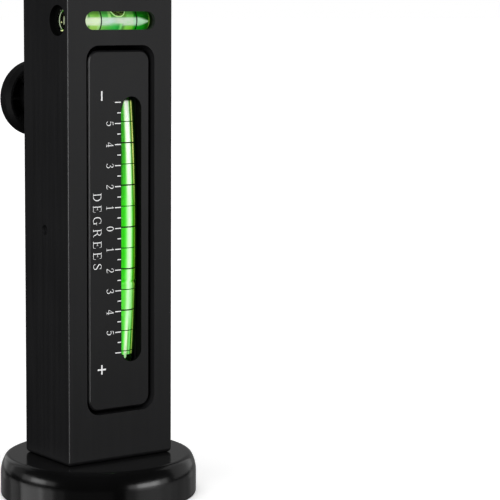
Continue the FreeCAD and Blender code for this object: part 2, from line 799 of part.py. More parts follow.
b = body("cover_screws", many=True)
for i, (x, z) in enumerate(SCREWS):
    sk = sketch(b, f"screw_half_{i}", "YZ_Plane", out=x, up=z)
    y = d["rock_back"] - 0.02
    polygon(
        sk,
        [
            (y, ZERO),
            (y, size(HEAD_R - 0.03)),
            (y - HEAD_DEEP, size(1.0)),
            (y - 5.4, size(1.0)),
            (y - 5.7, size(0.7)),
            (y - 5.7, ZERO),
        ],
    )
    turn(b, f"screw_{i}", sk)
    sk = sketch(b, f"cross_slot_{i}", "XZ_Plane", out=-d["rock_back"])
    polygon(
        sk,
        [
            (x + dx, z + dz)
            for dx, dz in (
                (-1.1, -0.2),
                (-0.2, -0.2),
                (-0.2, -1.1),
                (0.2, -1.1),
                (0.2, -0.2),
                (1.1, -0.2),
                (1.1, 0.2),
                (0.2, 0.2),
                (0.2, 1.1),
                (-0.2, 1.1),
                (-0.2, 0.2),
                (-1.1, 0.2),
            )
        ],
    )
    pocket(b, f"drive_{i}", sk, 0.5, turned=True)
keep(b)

b = body("thrust_button")
sk = sketch(b, "button_half", "YZ_Plane", out=ZERO, up=knob_z)
y0, y1, yc = d["cover_front"] + 0.02, d["rock_back"], d["crown"]
polygon(
    sk,
    [
        (y0, ZERO),
        (y0, size(1.2)),
        (y1, size(1.2)),
        (y1, size(2.4)),
        (y1 + 0.3, size(2.4)),
        (yc - 0.22, size(1.6)),
        (yc - 0.06, size(0.85)),
        (yc, size(0.3)),
        (yc, ZERO),
    ],
)
turn(b, "button", sk)
keep(b)

# ---------------------------------------------------------------------------------------------------------------
# Adjuster: threaded barrel in the back wall, swivel foot, stud, and the knob moulded round a brass insert
# ---------------------------------------------------------------------------------------------------------------
stud_r = d["stud_dia"] / 2
b = body("adjuster_barrel")
sk = sketch(b, "barrel_half", "YZ_Plane", out=ZERO, up=knob_z)
barrel_r = d["barrel_dia"] / 2
bore_r = stud_r + d["stud_play"]
polygon(
    sk,
    [
        (well_floor, bore_r),
        (well_floor, barrel_r),
        (half_deep, barrel_r),
        (half_deep, bore_r + 0.4),
        (half_deep - 0.4, bore_r),
    ],
)
turn(b, "barrel", sk)
keep(b)

b = body("spring_washer")
sk = sketch(b, "washer_plan", "XZ_Plane", out=-half_deep)
circle(sk, 0, knob_z, 5.2)
circle(sk, 0, knob_z, stud_r + 0.2)
pad(b, "washer", sk, d["washer_thick"], Reversed=True)
keep(b)

foot_front = d["crown"] + d["foot_gap"]
foot_back = foot_front + d["foot_long"]
foot_r, spigot_r = d["foot_dia"] / 2, d["spigot_dia"] / 2
b = body("screw_foot")
sk = sketch(b, "foot_half", "YZ_Plane", out=ZERO, up=knob_z)
polygon(
    sk,
    [
        (foot_front, ZERO),
        (foot_front, foot_r - 0.4),
        (foot_front + 0.4, foot_r),
        (foot_back - 0.4, foot_r),
        (foot_back, foot_r - 0.4),
        (foot_back, spigot_r + 0.05),
        (foot_front + 0.6, spigot_r + 0.05),
        (foot_front + 0.6, ZERO),
    ],
)
turn(b, "foot", sk)
keep(b)

stud_end = d["knob_back"] - 1.7
b = body("knob_stud")
sk = sketch(b, "stud_half", "YZ_Plane", out=ZERO, up=knob_z)
polygon(
    sk,
    [
        (foot_front + 0.65, ZERO),
        (foot_front + 0.65, spigot_r - 0.3),
        (foot_front + 0.95, spigot_r),
        (foot_back + 0.05, spigot_r),
        (foot_back + 0.05, stud_r - 0.3),
        (foot_back + 0.35, stud_r),
        (stud_end - 0.3, stud_r),
        (stud_end, stud_r - 0.3),
        (stud_end, ZERO),
    ],
)
turn(b, "stud", sk)
keep(b)

insert_r, hub_r, knob_r = d["insert_dia"] / 2, d["hub_dia"] / 2, d["knob_dia"] / 2
cap_r = d["cap_dia"] / 2
cap_seat = d["knob_back"] - 1.2
b = body("knob_insert")
sk = sketch(b, "insert_plan", "XZ_Plane", out=-d["hub_front"])
circle(sk, 0, knob_z, insert_r)
circle(sk, 0, knob_z, stud_r)
pad(b, "insert", sk, cap_seat - d["hub_front"], Reversed=True)
keep(b)

b = body("knob_head")
sk = sketch(b, "knob_half", "YZ_Plane", out=ZERO, up=knob_z)
polygon(
    sk,
    [
        (d["hub_front"], insert_r),
        (d["hub_front"], hub_r - 0.4),
        (d["hub_front"] + 0.4, hub_r),
        (d["face_front"] + 2.6, hub_r + 0.1),
        (d["face_front"] + 2.6, knob_r - 1.9),
        (d["face_front"], knob_r - 1.6),
        (d["face_front"], knob_r - 1.0),
        (d["face_front"] + 1.0, knob_r),
        (d["knob_back"], knob_r),
        (d["knob_back"], cap_r),
        (cap_seat, cap_r),
        (cap_seat, insert_r),
    ],
)
f = turn(b, "knob", sk)
f = soften(
    b,
    "knob_back_edge",
    f,
    lambda e: (
        near(e.BoundBox.ZLength, d["knob_dia"].number, 1e-2)
        and flat_at(e, 1, d["knob_back"].number)
    ),
    1.9,
)
# eight ribs join hub and rim inside the hollow front
sk = sketch(b, "rib_plan", "XZ_Plane", out=-d["face_front"] - 2.8, up=knob_z)
rectangle(sk, 5.2, -0.35, 8.3, 0.35)
rib = pad(b, "rib", sk, 1.7)
ribs = b.newObject("PartDesign::PolarPattern", "ribs")
ribs.Originals = [rib]
ribs.Axis = (sk, ["N_Axis"])
ribs.Angle = 360.0
ribs.Occurrences = 8
rib.Visibility = False
b.Tip = ribs
doc.recompute()
keep(b)

b = body("knob_cap")
sk = sketch(b, "cap_half", "YZ_Plane", out=ZERO, up=knob_z)
polygon(
    sk,
    [
        (cap_seat, ZERO),
        (cap_seat, cap_r),
        (d["knob_back"] - 0.3, cap_r),
        (d["knob_back"], cap_r - 0.35),
        (d["knob_back"] + 0.22, cap_r * 0.6),
        (d["knob_back"] + 0.3, ZERO),
    ],
)
turn(b, "cap", sk)
keep(b)


# ---------------------------------------------------------------------------------------------------------------
# Springs: round wire wound on a helix about an axis parallel to Y
# ---------------------------------------------------------------------------------------------------------------
def spring(name, across, up, mean, wire, start, end, turns):
    b = body(name)
    sk = sketch(b, "wire_plan", "YZ_Plane", out=across, up=up)
    first = start + wire + 0.03
    circle(sk, first, mean, wire)
    doc.recompute()
    h = b.newObject("PartDesign::AdditiveHelix", "coil")
    h.Profile = sk
    h.ReferenceAxis = (sk, ["H_Axis"])
    h.Mode = 1  # pitch and turns
    h.Turns = turns
    run = end - start - 2 * wire - 0.08
    h.setExpression("Pitch", (run / turns).text)
    sk.Visibility = False
    doc.recompute()
    return keep(b)


spring(
    "knob_spring",
    ZERO,
    knob_z,
    d["thrust_mean"],
    d["thrust_wire"],
    half_deep + d["washer_thick"],
    d["hub_front"],
    6.0,
)
spring(
    "return_spring",
    d["back_x"],
    back_z,
    d["back_mean"],
    d["back_wire"],
    d["rock_back"] - d["back_rock"],
    well_floor + d["back_bar"],
    7.0,
)

# ---------------------------------------------------------------------------------------------------------------
# Magnet base: steel cup, ring magnet set in resin, countersunk screw up into the bar, and two dowels
# ---------------------------------------------------------------------------------------------------------------
base_r = d["base_dia"] / 2
bolt_r = d["bolt_dia"] / 2
shank = bolt_r + d["bolt_play"]
sink_top = d["bolt_sunk"] + d["bolt_head"] - shank
# the upper edge is two arcs: a small one off the top, and a large one, the flank, that runs down into the side
flank, round_r = d["base_flank"], d["base_round"]
turn_cos = Size(math.cos(math.radians(d["base_turn"].number)), "cos(Dims.base_turn * 1 deg)")
turn_sin = Size(math.sin(math.radians(d["base_turn"].number)), "sin(Dims.base_turn * 1 deg)")
flank_x = base_r - flank
flank_z = d["base_tall"] - round_r - (flank - round_r) * turn_sin
round_x = flank_x + (flank - round_r) * turn_cos
b = body("base_cup")
sk = sketch(b, "cup_half", "XZ_Plane")
outline(
    sk,
    [
        (shank, d["base_tall"]),
        (round_x, d["base_tall"]),
        (flank_x + flank * turn_cos, flank_z + flank * turn_sin),
        (base_r, flank_z),
        (base_r, ZERO),
        (d["rim_inner"], ZERO),
        (d["rim_inner"], d["groove_top"]),
        (d["pole_outer"], d["groove_top"]),
        (d["pole_outer"], ZERO),
        (d["bolt_head"], ZERO),
        (d["bolt_head"], d["bolt_sunk"]),
        (shank, sink_top),
    ],
    {
        1: (round_x, d["base_tall"] - round_r, "X"),
        2: (flank_x, flank_z, "Y"),
    },
)
f = turn(b, "cup", sk, "V_Axis")
f = soften(
    b,
    "foot_edge",
    f,
    lambda e: flat_at(e, 2, 0.0) and e.BoundBox.XLength > 49,
    d["base_foot"],
)
sk = sketch(b, "cup_dowel_plan", "XY_Plane", out=d["base_tall"])
circle(sk, -d["dowel_x"], 0, d["dowel_dia"] / 2)
circle(sk, d["dowel_x"], 0, d["dowel_dia"] / 2)
pocket(b, "cup_dowel_holes", sk, d["dowel_low"])
keep(b)

b = body("magnet_ring")
sk = sketch(b, "magnet_plan", "XY_Plane", out=d["magnet_up"])
circle(sk, 0, 0, d["magnet_out"])
circle(sk, 0, 0, d["magnet_in"])
pad(b, "magnet", sk, d["groove_top"] - d["magnet_up"])
keep(b)

b = body("magnet_potting", many=True)
sk = sketch(b, "outer_resin_plan", "XY_Plane", out=d["magnet_up"] + 0.1)
circle(sk, 0, 0, d["rim_inner"])
circle(sk, 0, 0, d["magnet_out"])
pad(b, "outer_resin", sk, d["groove_top"] - d["magnet_up"] - 0.1)
sk = sketch(b, "inner_resin_plan", "XY_Plane", out=d["magnet_up"] + 0.1)
circle(sk, 0, 0, d["magnet_in"])
circle(sk, 0, 0, d["pole_outer"])
pad(b, "inner_resin", sk, d["groove_top"] - d["magnet_up"] - 0.1)
keep(b)

b = body("base_screw")
sk = sketch(b, "bolt_half", "XZ_Plane")
head_low = d["bolt_sunk"] - 0.1
head_r = d["bolt_head"] - 0.3
cone_low = d["bolt_sunk"] + d["bolt_head"] - head_r - 0.03
cone_high = d["bolt_sunk"] + d["bolt_head"] - bolt_r - 0.03
bolt_end = d["base_tall"] + d["bolt_in"]
polygon(
    sk,
    [
        (ZERO, head_low),
        (head_r, head_low),
        (head_r, cone_low),
        (bolt_r, cone_high),
        (bolt_r, bolt_end - 0.6),
        (bolt_r - 0.6, bolt_end),
        (ZERO, bolt_end),
    ],
)
turn(b, "bolt", sk, "V_Axis")
sk = sketch(b, "socket_plan", "XY_Plane", out=head_low)
hexagon = [
    (2.0 / math.cos(math.pi / 6) * math.cos(math.pi / 3 * i),
     2.0 / math.cos(math.pi / 6) * math.sin(math.pi / 3 * i))
    for i in range(6)
]
polygon(sk, hexagon)
pocket(b, "hex_socket", sk, 2.6, turned=True)
keep(b)

b = body("base_dowels", many=True)
for side, x in (("left", -d["dowel_x"]), ("right", d["dowel_x"])):
    sk = sketch(b, f"{side}_dowel_plan", "XY_Plane", out=d["base_tall"] - d["dowel_low"])
    circle(sk, x, 0, d["dowel_dia"] / 2)
    pad(b, f"{side}_dowel", sk, d["dowel_low"] + d["dowel_high"])
keep(b)

# ---------------------------------------------------------------------------------------------------------------
# Check every object, then write one STEP file for each sub-part
# ---------------------------------------------------------------------------------------------------------------
doc.recompute()
bad = [o.Name for o in doc.Objects if "Invalid" in o.State or "Error" in o.State]
if bad:
    raise SystemExit(f"failed objects: {bad}")
os.makedirs("parts", exist_ok=True)
for obj in PARTS:
    shape = obj.Shape
    if shape.isNull() or not shape.isValid():
        raise SystemExit(f"{obj.Label} has no valid shape")
    if not shape.Solids or min(s.Volume for s in shape.Solids) <= 0:
        raise SystemExit(f"{obj.Label} has no solid")
    shape.exportStep(f"parts/{obj.Label}.step")
    box = shape.BoundBox
    print(
        f"{obj.Label:22s} {len(shape.Solids)} solid(s) {shape.Volume:10.2f} mm3  "
        f"X {box.XMin:7.2f} {box.XMax:7.2f}  Y {box.YMin:7.2f} {box.YMax:7.2f}  Z {box.ZMin:7.2f} {box.ZMax:7.2f}"
    )
print(len(PARTS), "sub-parts")
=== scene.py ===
"""Looks of the camber caster gauge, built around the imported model. Metres, +Z up, the scale faces -Y."""

import json
import math

import bpy
from mathutils import Matrix, Vector

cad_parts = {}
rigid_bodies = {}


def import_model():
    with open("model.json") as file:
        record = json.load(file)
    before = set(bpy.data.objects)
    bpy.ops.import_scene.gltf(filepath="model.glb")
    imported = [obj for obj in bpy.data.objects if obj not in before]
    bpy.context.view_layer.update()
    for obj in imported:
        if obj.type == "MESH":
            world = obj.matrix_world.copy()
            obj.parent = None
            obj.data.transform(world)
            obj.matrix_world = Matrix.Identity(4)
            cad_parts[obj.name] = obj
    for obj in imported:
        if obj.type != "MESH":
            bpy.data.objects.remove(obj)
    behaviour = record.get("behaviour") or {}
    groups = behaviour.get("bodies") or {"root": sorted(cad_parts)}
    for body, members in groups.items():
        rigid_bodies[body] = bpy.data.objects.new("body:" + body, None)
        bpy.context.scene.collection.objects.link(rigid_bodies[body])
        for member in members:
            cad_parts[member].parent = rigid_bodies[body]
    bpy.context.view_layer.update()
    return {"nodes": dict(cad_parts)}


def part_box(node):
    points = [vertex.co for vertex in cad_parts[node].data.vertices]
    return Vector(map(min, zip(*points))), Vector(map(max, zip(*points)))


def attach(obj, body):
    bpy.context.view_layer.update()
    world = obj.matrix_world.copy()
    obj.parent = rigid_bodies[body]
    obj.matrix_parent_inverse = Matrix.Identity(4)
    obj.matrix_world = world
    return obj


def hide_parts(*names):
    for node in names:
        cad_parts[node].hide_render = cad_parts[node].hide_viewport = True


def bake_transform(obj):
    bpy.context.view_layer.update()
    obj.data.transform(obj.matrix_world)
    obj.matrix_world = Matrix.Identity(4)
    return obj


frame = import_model()
nodes = frame["nodes"]

MM = 0.001
rad = math.radians

# ---------------------------------------------------------------------------------------------------------------
# Sizes shared with the CAD model, in millimetres
# ---------------------------------------------------------------------------------------------------------------
FACE = -10.05  # Y of the rocker's face
PIVOT_Z = 68.4
SIGHT_X = 3.5
BEND = 304.0
BEND_Y = 298.05
ZERO_Z = 68.88
DEGREE = 5.24
KNOB_Z = 99.65


# ---------------------------------------------------------------------------------------------------------------
# Materials
# ---------------------------------------------------------------------------------------------------------------
class Mat:
    """A Principled material, with helpers that drive its sockets from object-space noise."""

    def __init__(self, name, color, rough, **more):
        self.m = bpy.data.materials.new(name)
        self.m.use_nodes = True
        self.t = self.m.node_tree
        self.p = self.t.nodes["Principled BSDF"]
        self.color = color
        self.set("Base Color", (*color, 1.0))
        self.set("Roughness", rough)
        for key, value in more.items():
            self.set(key.replace("_", " "), value)
        self.coord = self.add("ShaderNodeTexCoord").outputs["Object"]

    def set(self, name, value):
        self.p.inputs[name].default_value = value

    def add(self, kind, **values):
        n = self.t.nodes.new(kind)
        for key, value in values.items():
            setattr(n, key, value)
        return n

    def link(self, a, b):
        self.t.links.new(a, b)

    def noise(self, scale, stretch=(1, 1, 1), detail=3.0, rough=0.5, source=None):
        mapping = self.add("ShaderNodeMapping")
        mapping.inputs["Scale"].default_value = stretch
        self.link(source or self.coord, mapping.inputs["Vector"])
        n = self.add("ShaderNodeTexNoise")
        n.inputs["Scale"].default_value = scale
        n.inputs["Detail"].default_value = detail
        n.inputs["Roughness"].default_value = rough
        self.link(mapping.outputs["Vector"], n.inputs["Vector"])
        return n.outputs["Fac"]

    def ramp(self, value, low, high, a, b):
        n = self.add("ShaderNodeMapRange")
        for key, v in (("From Min", low), ("From Max", high), ("To Min", a), ("To Max", b)):
            n.inputs[key].default_value = v
        self.link(value, n.inputs["Value"])
        return n.outputs["Result"]

    def math(self, operation, a, b=None):
        n = self.add("ShaderNodeMath", operation=operation)
        for i, v in enumerate((a, b)):
            if v is None:
                continue
            if isinstance(v, (int, float)):
                n.inputs[i].default_value = v
            else:
                self.link(v, n.inputs[i])
        return n.outputs[0]

    def mix(self, factor, a, b):
        n = self.add("ShaderNodeMix", data_type="RGBA")
        self.link(factor, n.inputs[0])
        for i, v in ((6, a), (7, b)):
            if isinstance(v, tuple):
                n.inputs[i].default_value = (*v, 1.0) if len(v) == 3 else v
            else:
                self.link(v, n.inputs[i])
        return n.outputs[2]

    def tint(self, value, a, b, low=0.35, high=0.65):
        """Base colour from a to b along a noise."""
        out = self.mix(self.ramp(value, low, high, 0.0, 1.0), a, b)
        self.link(out, self.p.inputs["Base Color"])
        return out

    def roughness(self, value, a, b, low=0.3, high=0.7):
        self.link(self.ramp(value, low, high, a, b), self.p.inputs["Roughness"])

    def bump(self, value, distance, strength=1.0, under=None):
        n = self.add("ShaderNodeBump")
        n.inputs["Strength"].default_value = strength
        n.inputs["Distance"].default_value = distance
        self.link(value, n.inputs["Height"])
        if under is not None:
            self.link(under, n.inputs["Normal"])
        self.link(n.outputs["Normal"], self.p.inputs["Normal"])
        return n.outputs["Normal"]


def scaled(c, k):
    return tuple(v * k for v in c)


def anodised(name, base=(0.0068, 0.0068, 0.0072), rough=0.42, spec=0.30):
    """Fine bead-blasted and black anodised aluminium: an even satin with a faint draw along the bar."""
    m = Mat(name, base, rough, Specular_IOR_Level=spec)
    grain = m.noise(5200, detail=2.0)
    draw = m.noise(900, stretch=(1, 1, 0.03), detail=4.0)
    cloud = m.noise(45, detail=3.0)
    m.tint(m.math("ADD", m.math("MULTIPLY", cloud, 0.5), m.math("MULTIPLY", draw, 0.5)), scaled(base, 0.84), scaled(base, 1.20))
    m.roughness(m.math("ADD", m.math("MULTIPLY", grain, 0.5), m.math("MULTIPLY", draw, 0.5)), rough - 0.06, rough + 0.06)
    low = m.bump(draw, 4e-6, 0.14)
    m.bump(grain, 9e-6, 0.35, low)
    return m.m


def metal(name, color, rough, turned=None, scale=2600):
    """A machined or drawn metal. turned stretches its marks along one axis."""
    m = Mat(name, color, rough, Metallic=1.0)
    lines = m.noise(scale, stretch=turned or (1, 1, 1), detail=3.0)
    cloud = m.noise(160, detail=3.0)
    m.tint(m.math("ADD", m.math("MULTIPLY", cloud, 0.6), m.math("MULTIPLY", lines, 0.4)), scaled(color, 0.78), scaled(color, 1.06))
    m.roughness(lines, rough - 0.07, rough + 0.10)
    m.bump(lines, 5e-6, 0.4)
    return m.m


def moulded(name, base, rough, spec=0.35, scale=2600, depth=1.6e-5):
    """Moulded plastic with a fine spark-eroded grain."""
    m = Mat(name, base, rough, Specular_IOR_Level=spec)
    grain = m.noise(scale, detail=2.5, rough=0.6)
    cloud = m.noise(90, detail=2.0)
    m.tint(cloud, scaled(base, 0.85), scaled(base, 1.2))
    m.roughness(grain, rough - 0.05, rough + 0.07)
    m.bump(grain, depth, 0.5)
    return m.m


def gloss_black(name):
    """Gloss black coating on the pressed steel cup, with a trace of orange peel."""
    m = Mat(name, (0.0062, 0.0062, 0.0064), 0.22, Specular_IOR_Level=0.50)
    peel = m.noise(420, detail=1.5)
    cloud = m.noise(70, detail=3.0)
    m.tint(cloud, (0.0072, 0.0072, 0.0074), (0.0096, 0.0096, 0.0099))
    m.roughness(cloud, 0.16, 0.20)
    m.bump(peel, 0.8e-5, 0.20)
    return m.m


def clear(name, tint=(0.965, 0.99, 0.93), coat=0.3):
    """Clear acrylic. The vials are solid in it, round the coloured liquid."""
    m = Mat(name, tint, 0.015, Transmission_Weight=1.0, IOR=1.49, Coat_Weight=coat, Coat_IOR=1.7, Coat_Roughness=0.012)
    cloud = m.noise(120, detail=2.0)
    m.tint(cloud, scaled(tint, 0.975), tint)
    m.roughness(cloud, 0.010, 0.022)
    return m.m


# painted light: the surface glows in its own colour through its emission, though it is no lamp
def glow(m, color_out, strength):
    m.link(color_out, m.p.inputs["Emission Color"])
    m.set("Emission Strength", strength)


def ramp_of(m, value, points):
    """A colour ramp: points are (position, colour)."""
    node = m.add("ShaderNodeValToRGB")
    e = node.color_ramp.elements
    e[0].position, e[0].color = points[0][0], (*points[0][1], 1)
    e[1].position, e[1].color = points[-1][0], (*points[-1][1], 1)
    for position, color in points[1:-1]:
        e.new(position).color = (*color, 1)
    m.link(value, node.inputs["Fac"])
    return node.outputs["Color"]


def uv_of(m):
    uv = m.add("ShaderNodeUVMap", uv_map="UVMap").outputs["UV"]
    split = m.add("ShaderNodeSeparateXYZ")
    m.link(uv, split.inputs[0])
    return uv, split.outputs["X"], split.outputs["Y"]


def camber_liquid(name, high, low, blend, strength=0.62, shoulder_shade=False):
    """The dyed liquid of the long vial, glowing through its emission as painted light. U runs once round the tube,
    starting at its back, and V up along it.
    The colours run round the tube, and change from low to high along it; they hold a painted highlight band and painted
    shade as well as the dye's colour. The bubble's end has a dark shoulder of painted shade."""
    m = Mat(name, (0.04, 0.6, 0.01), 0.12, Specular_IOR_Level=0.3)
    uv, across, along = uv_of(m)
    out = m.mix(m.ramp(along, blend[0], blend[1], 0.0, 1.0), ramp_of(m, across, low), ramp_of(m, across, high))
    streaks = m.noise(26, stretch=(7, 0.25, 1), detail=2.0, source=uv)
    out = m.mix(m.ramp(streaks, 0.35, 0.7, 0.0, 0.16), out, (0.03, 0.30, 0.02))
    # painted shade: a dark band across the bubble's upper end that curves down the tube's -X side
    if shoulder_shade:
        off = m.math("MAXIMUM", m.math("SUBTRACT", 0.505, across), 0.0)
        bend = m.math("ADD", along, m.math("MULTIPLY", m.math("MULTIPLY", off, off), 13.0))
        out = m.mix(m.ramp(bend, 0.990, 1.002, 0.0, 1.0), out, (0.004, 0.012, 0.003))
    m.link(out, m.p.inputs["Base Color"])
    glow(m, out, strength)
    return m.m


def cross_liquid(name, strength=0.70):
    """The dyed liquid of the short vial: pale and yellow-green at its plugged end, deep green at its domed one, with a
    painted highlight band along its front and a painted highlight over its plugged end. It glows through its emission,
    which is painted light."""
    m = Mat(name, (0.08, 0.5, 0.03), 0.10, Specular_IOR_Level=0.3)
    uv, across, along = uv_of(m)
    # besides the dye's colour, these tables hold painted highlights in their pale stops and painted shade in some dark
    # ones
    under = ramp_of(m, along, [
        (0.00, (0.40, 0.52, 0.28)), (0.12, (0.34, 0.50, 0.22)), (0.155, (0.10, 0.30, 0.06)), (0.185, (0.42, 0.70, 0.17)),
        (0.27, (0.42, 0.68, 0.17)), (0.29, (0.50, 0.78, 0.32)), (0.335, (0.24, 0.58, 0.14)), (0.43, (0.12, 0.52, 0.10)),
        (0.52, (0.06, 0.50, 0.10)), (0.57, (0.04, 0.40, 0.07)), (0.602, (0.28, 0.74, 0.24)), (0.632, (0.12, 0.34, 0.07)),
        (0.675, (0.30, 0.68, 0.12)), (0.755, (0.22, 0.60, 0.06)), (0.79, (0.003, 0.36, 0.010)), (0.90, (0.003, 0.30, 0.008)),
        (0.955, (0.008, 0.15, 0.002)), (0.982, (0.010, 0.14, 0.002)), (0.990, (0.22, 0.42, 0.07)), (1.00, (0.20, 0.40, 0.06)),
    ])
    over = ramp_of(m, along, [
        (0.00, (0.40, 0.52, 0.28)), (0.13, (0.30, 0.50, 0.18)), (0.155, (0.10, 0.30, 0.06)), (0.18, (0.25, 0.56, 0.12)),
        (0.28, (0.24, 0.52, 0.09)), (0.32, (0.26, 0.52, 0.20)), (0.345, (0.12, 0.50, 0.11)), (0.41, (0.11, 0.48, 0.10)),
        (0.435, (0.44, 0.78, 0.28)), (0.450, (0.40, 0.74, 0.24)), (0.468, (0.09, 0.34, 0.04)), (0.61, (0.09, 0.30, 0.04)),
        (0.655, (0.14, 0.34, 0.05)), (0.69, (0.20, 0.54, 0.13)), (0.76, (0.16, 0.48, 0.10)), (0.79, (0.003, 0.20, 0.006)),
        (0.90, (0.003, 0.14, 0.003)), (0.982, (0.003, 0.08, 0.002)), (0.990, (0.20, 0.38, 0.06)), (1.00, (0.18, 0.36, 0.05)),
    ])
    highlight_band = ramp_of(m, along, [
        (0.00, (0.66, 0.72, 0.56)), (0.06, (0.72, 0.78, 0.62)), (0.29, (0.71, 0.78, 0.60)), (0.33, (0.55, 0.66, 0.58)),
        (0.47, (0.55, 0.65, 0.62)), (0.56, (0.60, 0.64, 0.58)), (0.64, (0.58, 0.66, 0.58)), (0.76, (0.56, 0.66, 0.56)),
        (0.80, (0.42, 0.62, 0.48)), (0.94, (0.48, 0.68, 0.50)), (0.974, (0.70, 0.92, 0.72)), (0.984, (0.20, 0.40, 0.06)),
        (1.00, (0.20, 0.40, 0.06)),
    ])
    body = m.mix(m.ramp(across, 0.475, 0.515, 0.0, 1.0), under, over)
    # the slot's upper edge shades the vial
    body = m.mix(m.ramp(across, 0.570, 0.606, 0.0, 0.50), body, (0.01, 0.06, 0.008))
    # painted highlight: the band narrows towards the dome, and its lower side fades in the middle
    off = m.math("ABSOLUTE", m.math("SUBTRACT", across, 0.486))
    wide = m.ramp(along, 0.85, 0.984, 0.057, 0.010)
    inside = m.ramp(m.math("SUBTRACT", wide, off), -0.014, 0.016, 0.0, 0.92)
    lower = m.math("MULTIPLY", m.ramp(across, 0.474, 0.446, 0.0, 1.0), m.math("MULTIPLY", m.ramp(along, 0.40, 0.50, 0.0, 0.7), m.ramp(along, 0.60, 0.64, 1.0, 0.0)))
    inside = m.math("MULTIPLY", inside, m.math("SUBTRACT", 1.0, lower))
    # painted highlight: near the plugged end the band's pale colour covers the whole tube
    end_highlight = m.ramp(along, 0.125, 0.150, 0.80, 0.0)
    body = m.mix(m.math("MAXIMUM", inside, end_highlight), body, highlight_band)
    streaks = m.noise(9, stretch=(5, 1.2, 1), detail=2.0, source=uv)
    out = m.mix(m.ramp(streaks, 0.45, 0.75, 0.0, 0.22), body, (0.06, 0.34, 0.05))
    m.link(out, m.p.inputs["Base Color"])
    glow(m, out, strength)
    return m.m


def ink(name, color=(0.60, 0.60, 0.60)):
    m = Mat(name, color, 0.55, Specular_IOR_Level=0.3)
    speck = m.noise(7000, detail=2.0)
    m.tint(speck, scaled(color, 0.80), scaled(color, 1.08))
    m.bump(speck, 4e-6, 0.3)
    return m.m


def plain(name, color, rough, spec=0.4, scale=1500, **more):
    m = Mat(name, color, rough, Specular_IOR_Level=spec, **more)
    cloud = m.noise(scale, detail=2.0)
    m.tint(cloud, scaled(color, 0.88), scaled(color, 1.10))
    m.roughness(cloud, max(0.02, rough - 0.04), rough + 0.05)
    return m.m


BAR = anodised("bar_anodised")
ROCK = anodised("rocker_anodised", rough=0.42)
COVER = anodised("cover_anodised", rough=0.36)
CUP = gloss_black("cup_gloss_black")
KNOB = moulded("knob_moulded", (0.0095, 0.0095, 0.0100), 0.46)
CAP = moulded("cap_moulded", (0.0085, 0.0085, 0.0090), 0.30, depth=0.8e-5)
BRASS = metal("turned_brass", (0.80, 0.58, 0.28), 0.26, turned=(1, 6, 1))
BRONZE = metal("oiled_bronze", (0.52, 0.34, 0.18), 0.34)
ZINC = metal("zinc_plated_steel", (0.58, 0.59, 0.60), 0.30)
STUD = metal("rolled_thread_steel", (0.50, 0.50, 0.51), 0.26)
HARD = metal("polished_hard_steel", (0.66, 0.66, 0.67), 0.12)
WIRE = metal("spring_wire", (0.42, 0.42, 0.44), 0.26, scale=5200)
DARK = metal("blackened_steel", (0.070, 0.070, 0.074), 0.34)
FERRITE = moulded("ground_ferrite", (0.030, 0.030, 0.032), 0.42, scale=3400, depth=2.2e-5)
RESIN = moulded("cast_resin", (0.018, 0.018, 0.019), 0.30, scale=900, depth=1.2e-5)
ACRYLIC = clear("clear_acrylic")
CROSS_ACRYLIC = clear("cross_vial_acrylic", coat=0.0)
BACK = (0.03, 0.34, 0.006)
SIDE_SHADE = (0.004, 0.01, 0.0)
# painted light: in these tables the pale and white stops round the middle are a painted highlight, the dark stops
# beside them and the darkest stops at the tube's sides are painted shade, and the yellow stops past 0.6 are painted
# refracted light
LIQUID = camber_liquid(
    "camber_liquid",
    [(0.00, BACK), (0.35, SIDE_SHADE), (0.375, (0.08, 0.34, 0.06)), (0.390, (0.12, 0.66, 0.07)), (0.430, (0.12, 0.80, 0.06)),
     (0.455, (0.16, 0.74, 0.09)), (0.472, (0.30, 0.82, 0.23)), (0.490, (0.58, 0.96, 0.52)), (0.510, (0.68, 0.96, 0.66)),
     (0.530, (0.56, 0.92, 0.54)), (0.550, (0.47, 0.91, 0.42)), (0.570, (0.42, 0.92, 0.33)), (0.590, (0.19, 0.56, 0.10)),
     (0.608, (0.14, 0.42, 0.04)), (0.628, (0.32, 0.58, 0.09)), (0.643, (0.14, 0.24, 0.03)), (0.656, SIDE_SHADE), (1.00, BACK)],
    [(0.00, BACK), (0.40, SIDE_SHADE), (0.425, (0.06, 0.26, 0.05)), (0.442, (0.08, 0.60, 0.04)), (0.459, (0.10, 0.80, 0.06)),
     (0.474, (0.36, 0.96, 0.28)), (0.488, (0.80, 1.00, 0.70)), (0.512, (0.95, 1.00, 0.84)), (0.524, (0.46, 0.84, 0.34)),
     (0.537, (0.18, 0.54, 0.13)), (0.550, (0.24, 0.76, 0.20)), (0.566, (0.34, 1.00, 0.30)), (0.580, (0.14, 0.60, 0.10)),
     (0.594, (0.02, 0.24, 0.0)), (0.606, (0.10, 0.30, 0.01)), (0.618, (0.60, 0.84, 0.22)), (0.634, (0.44, 0.62, 0.15)),
     (0.648, SIDE_SHADE), (1.00, BACK)],
    (0.34, 0.60),
)
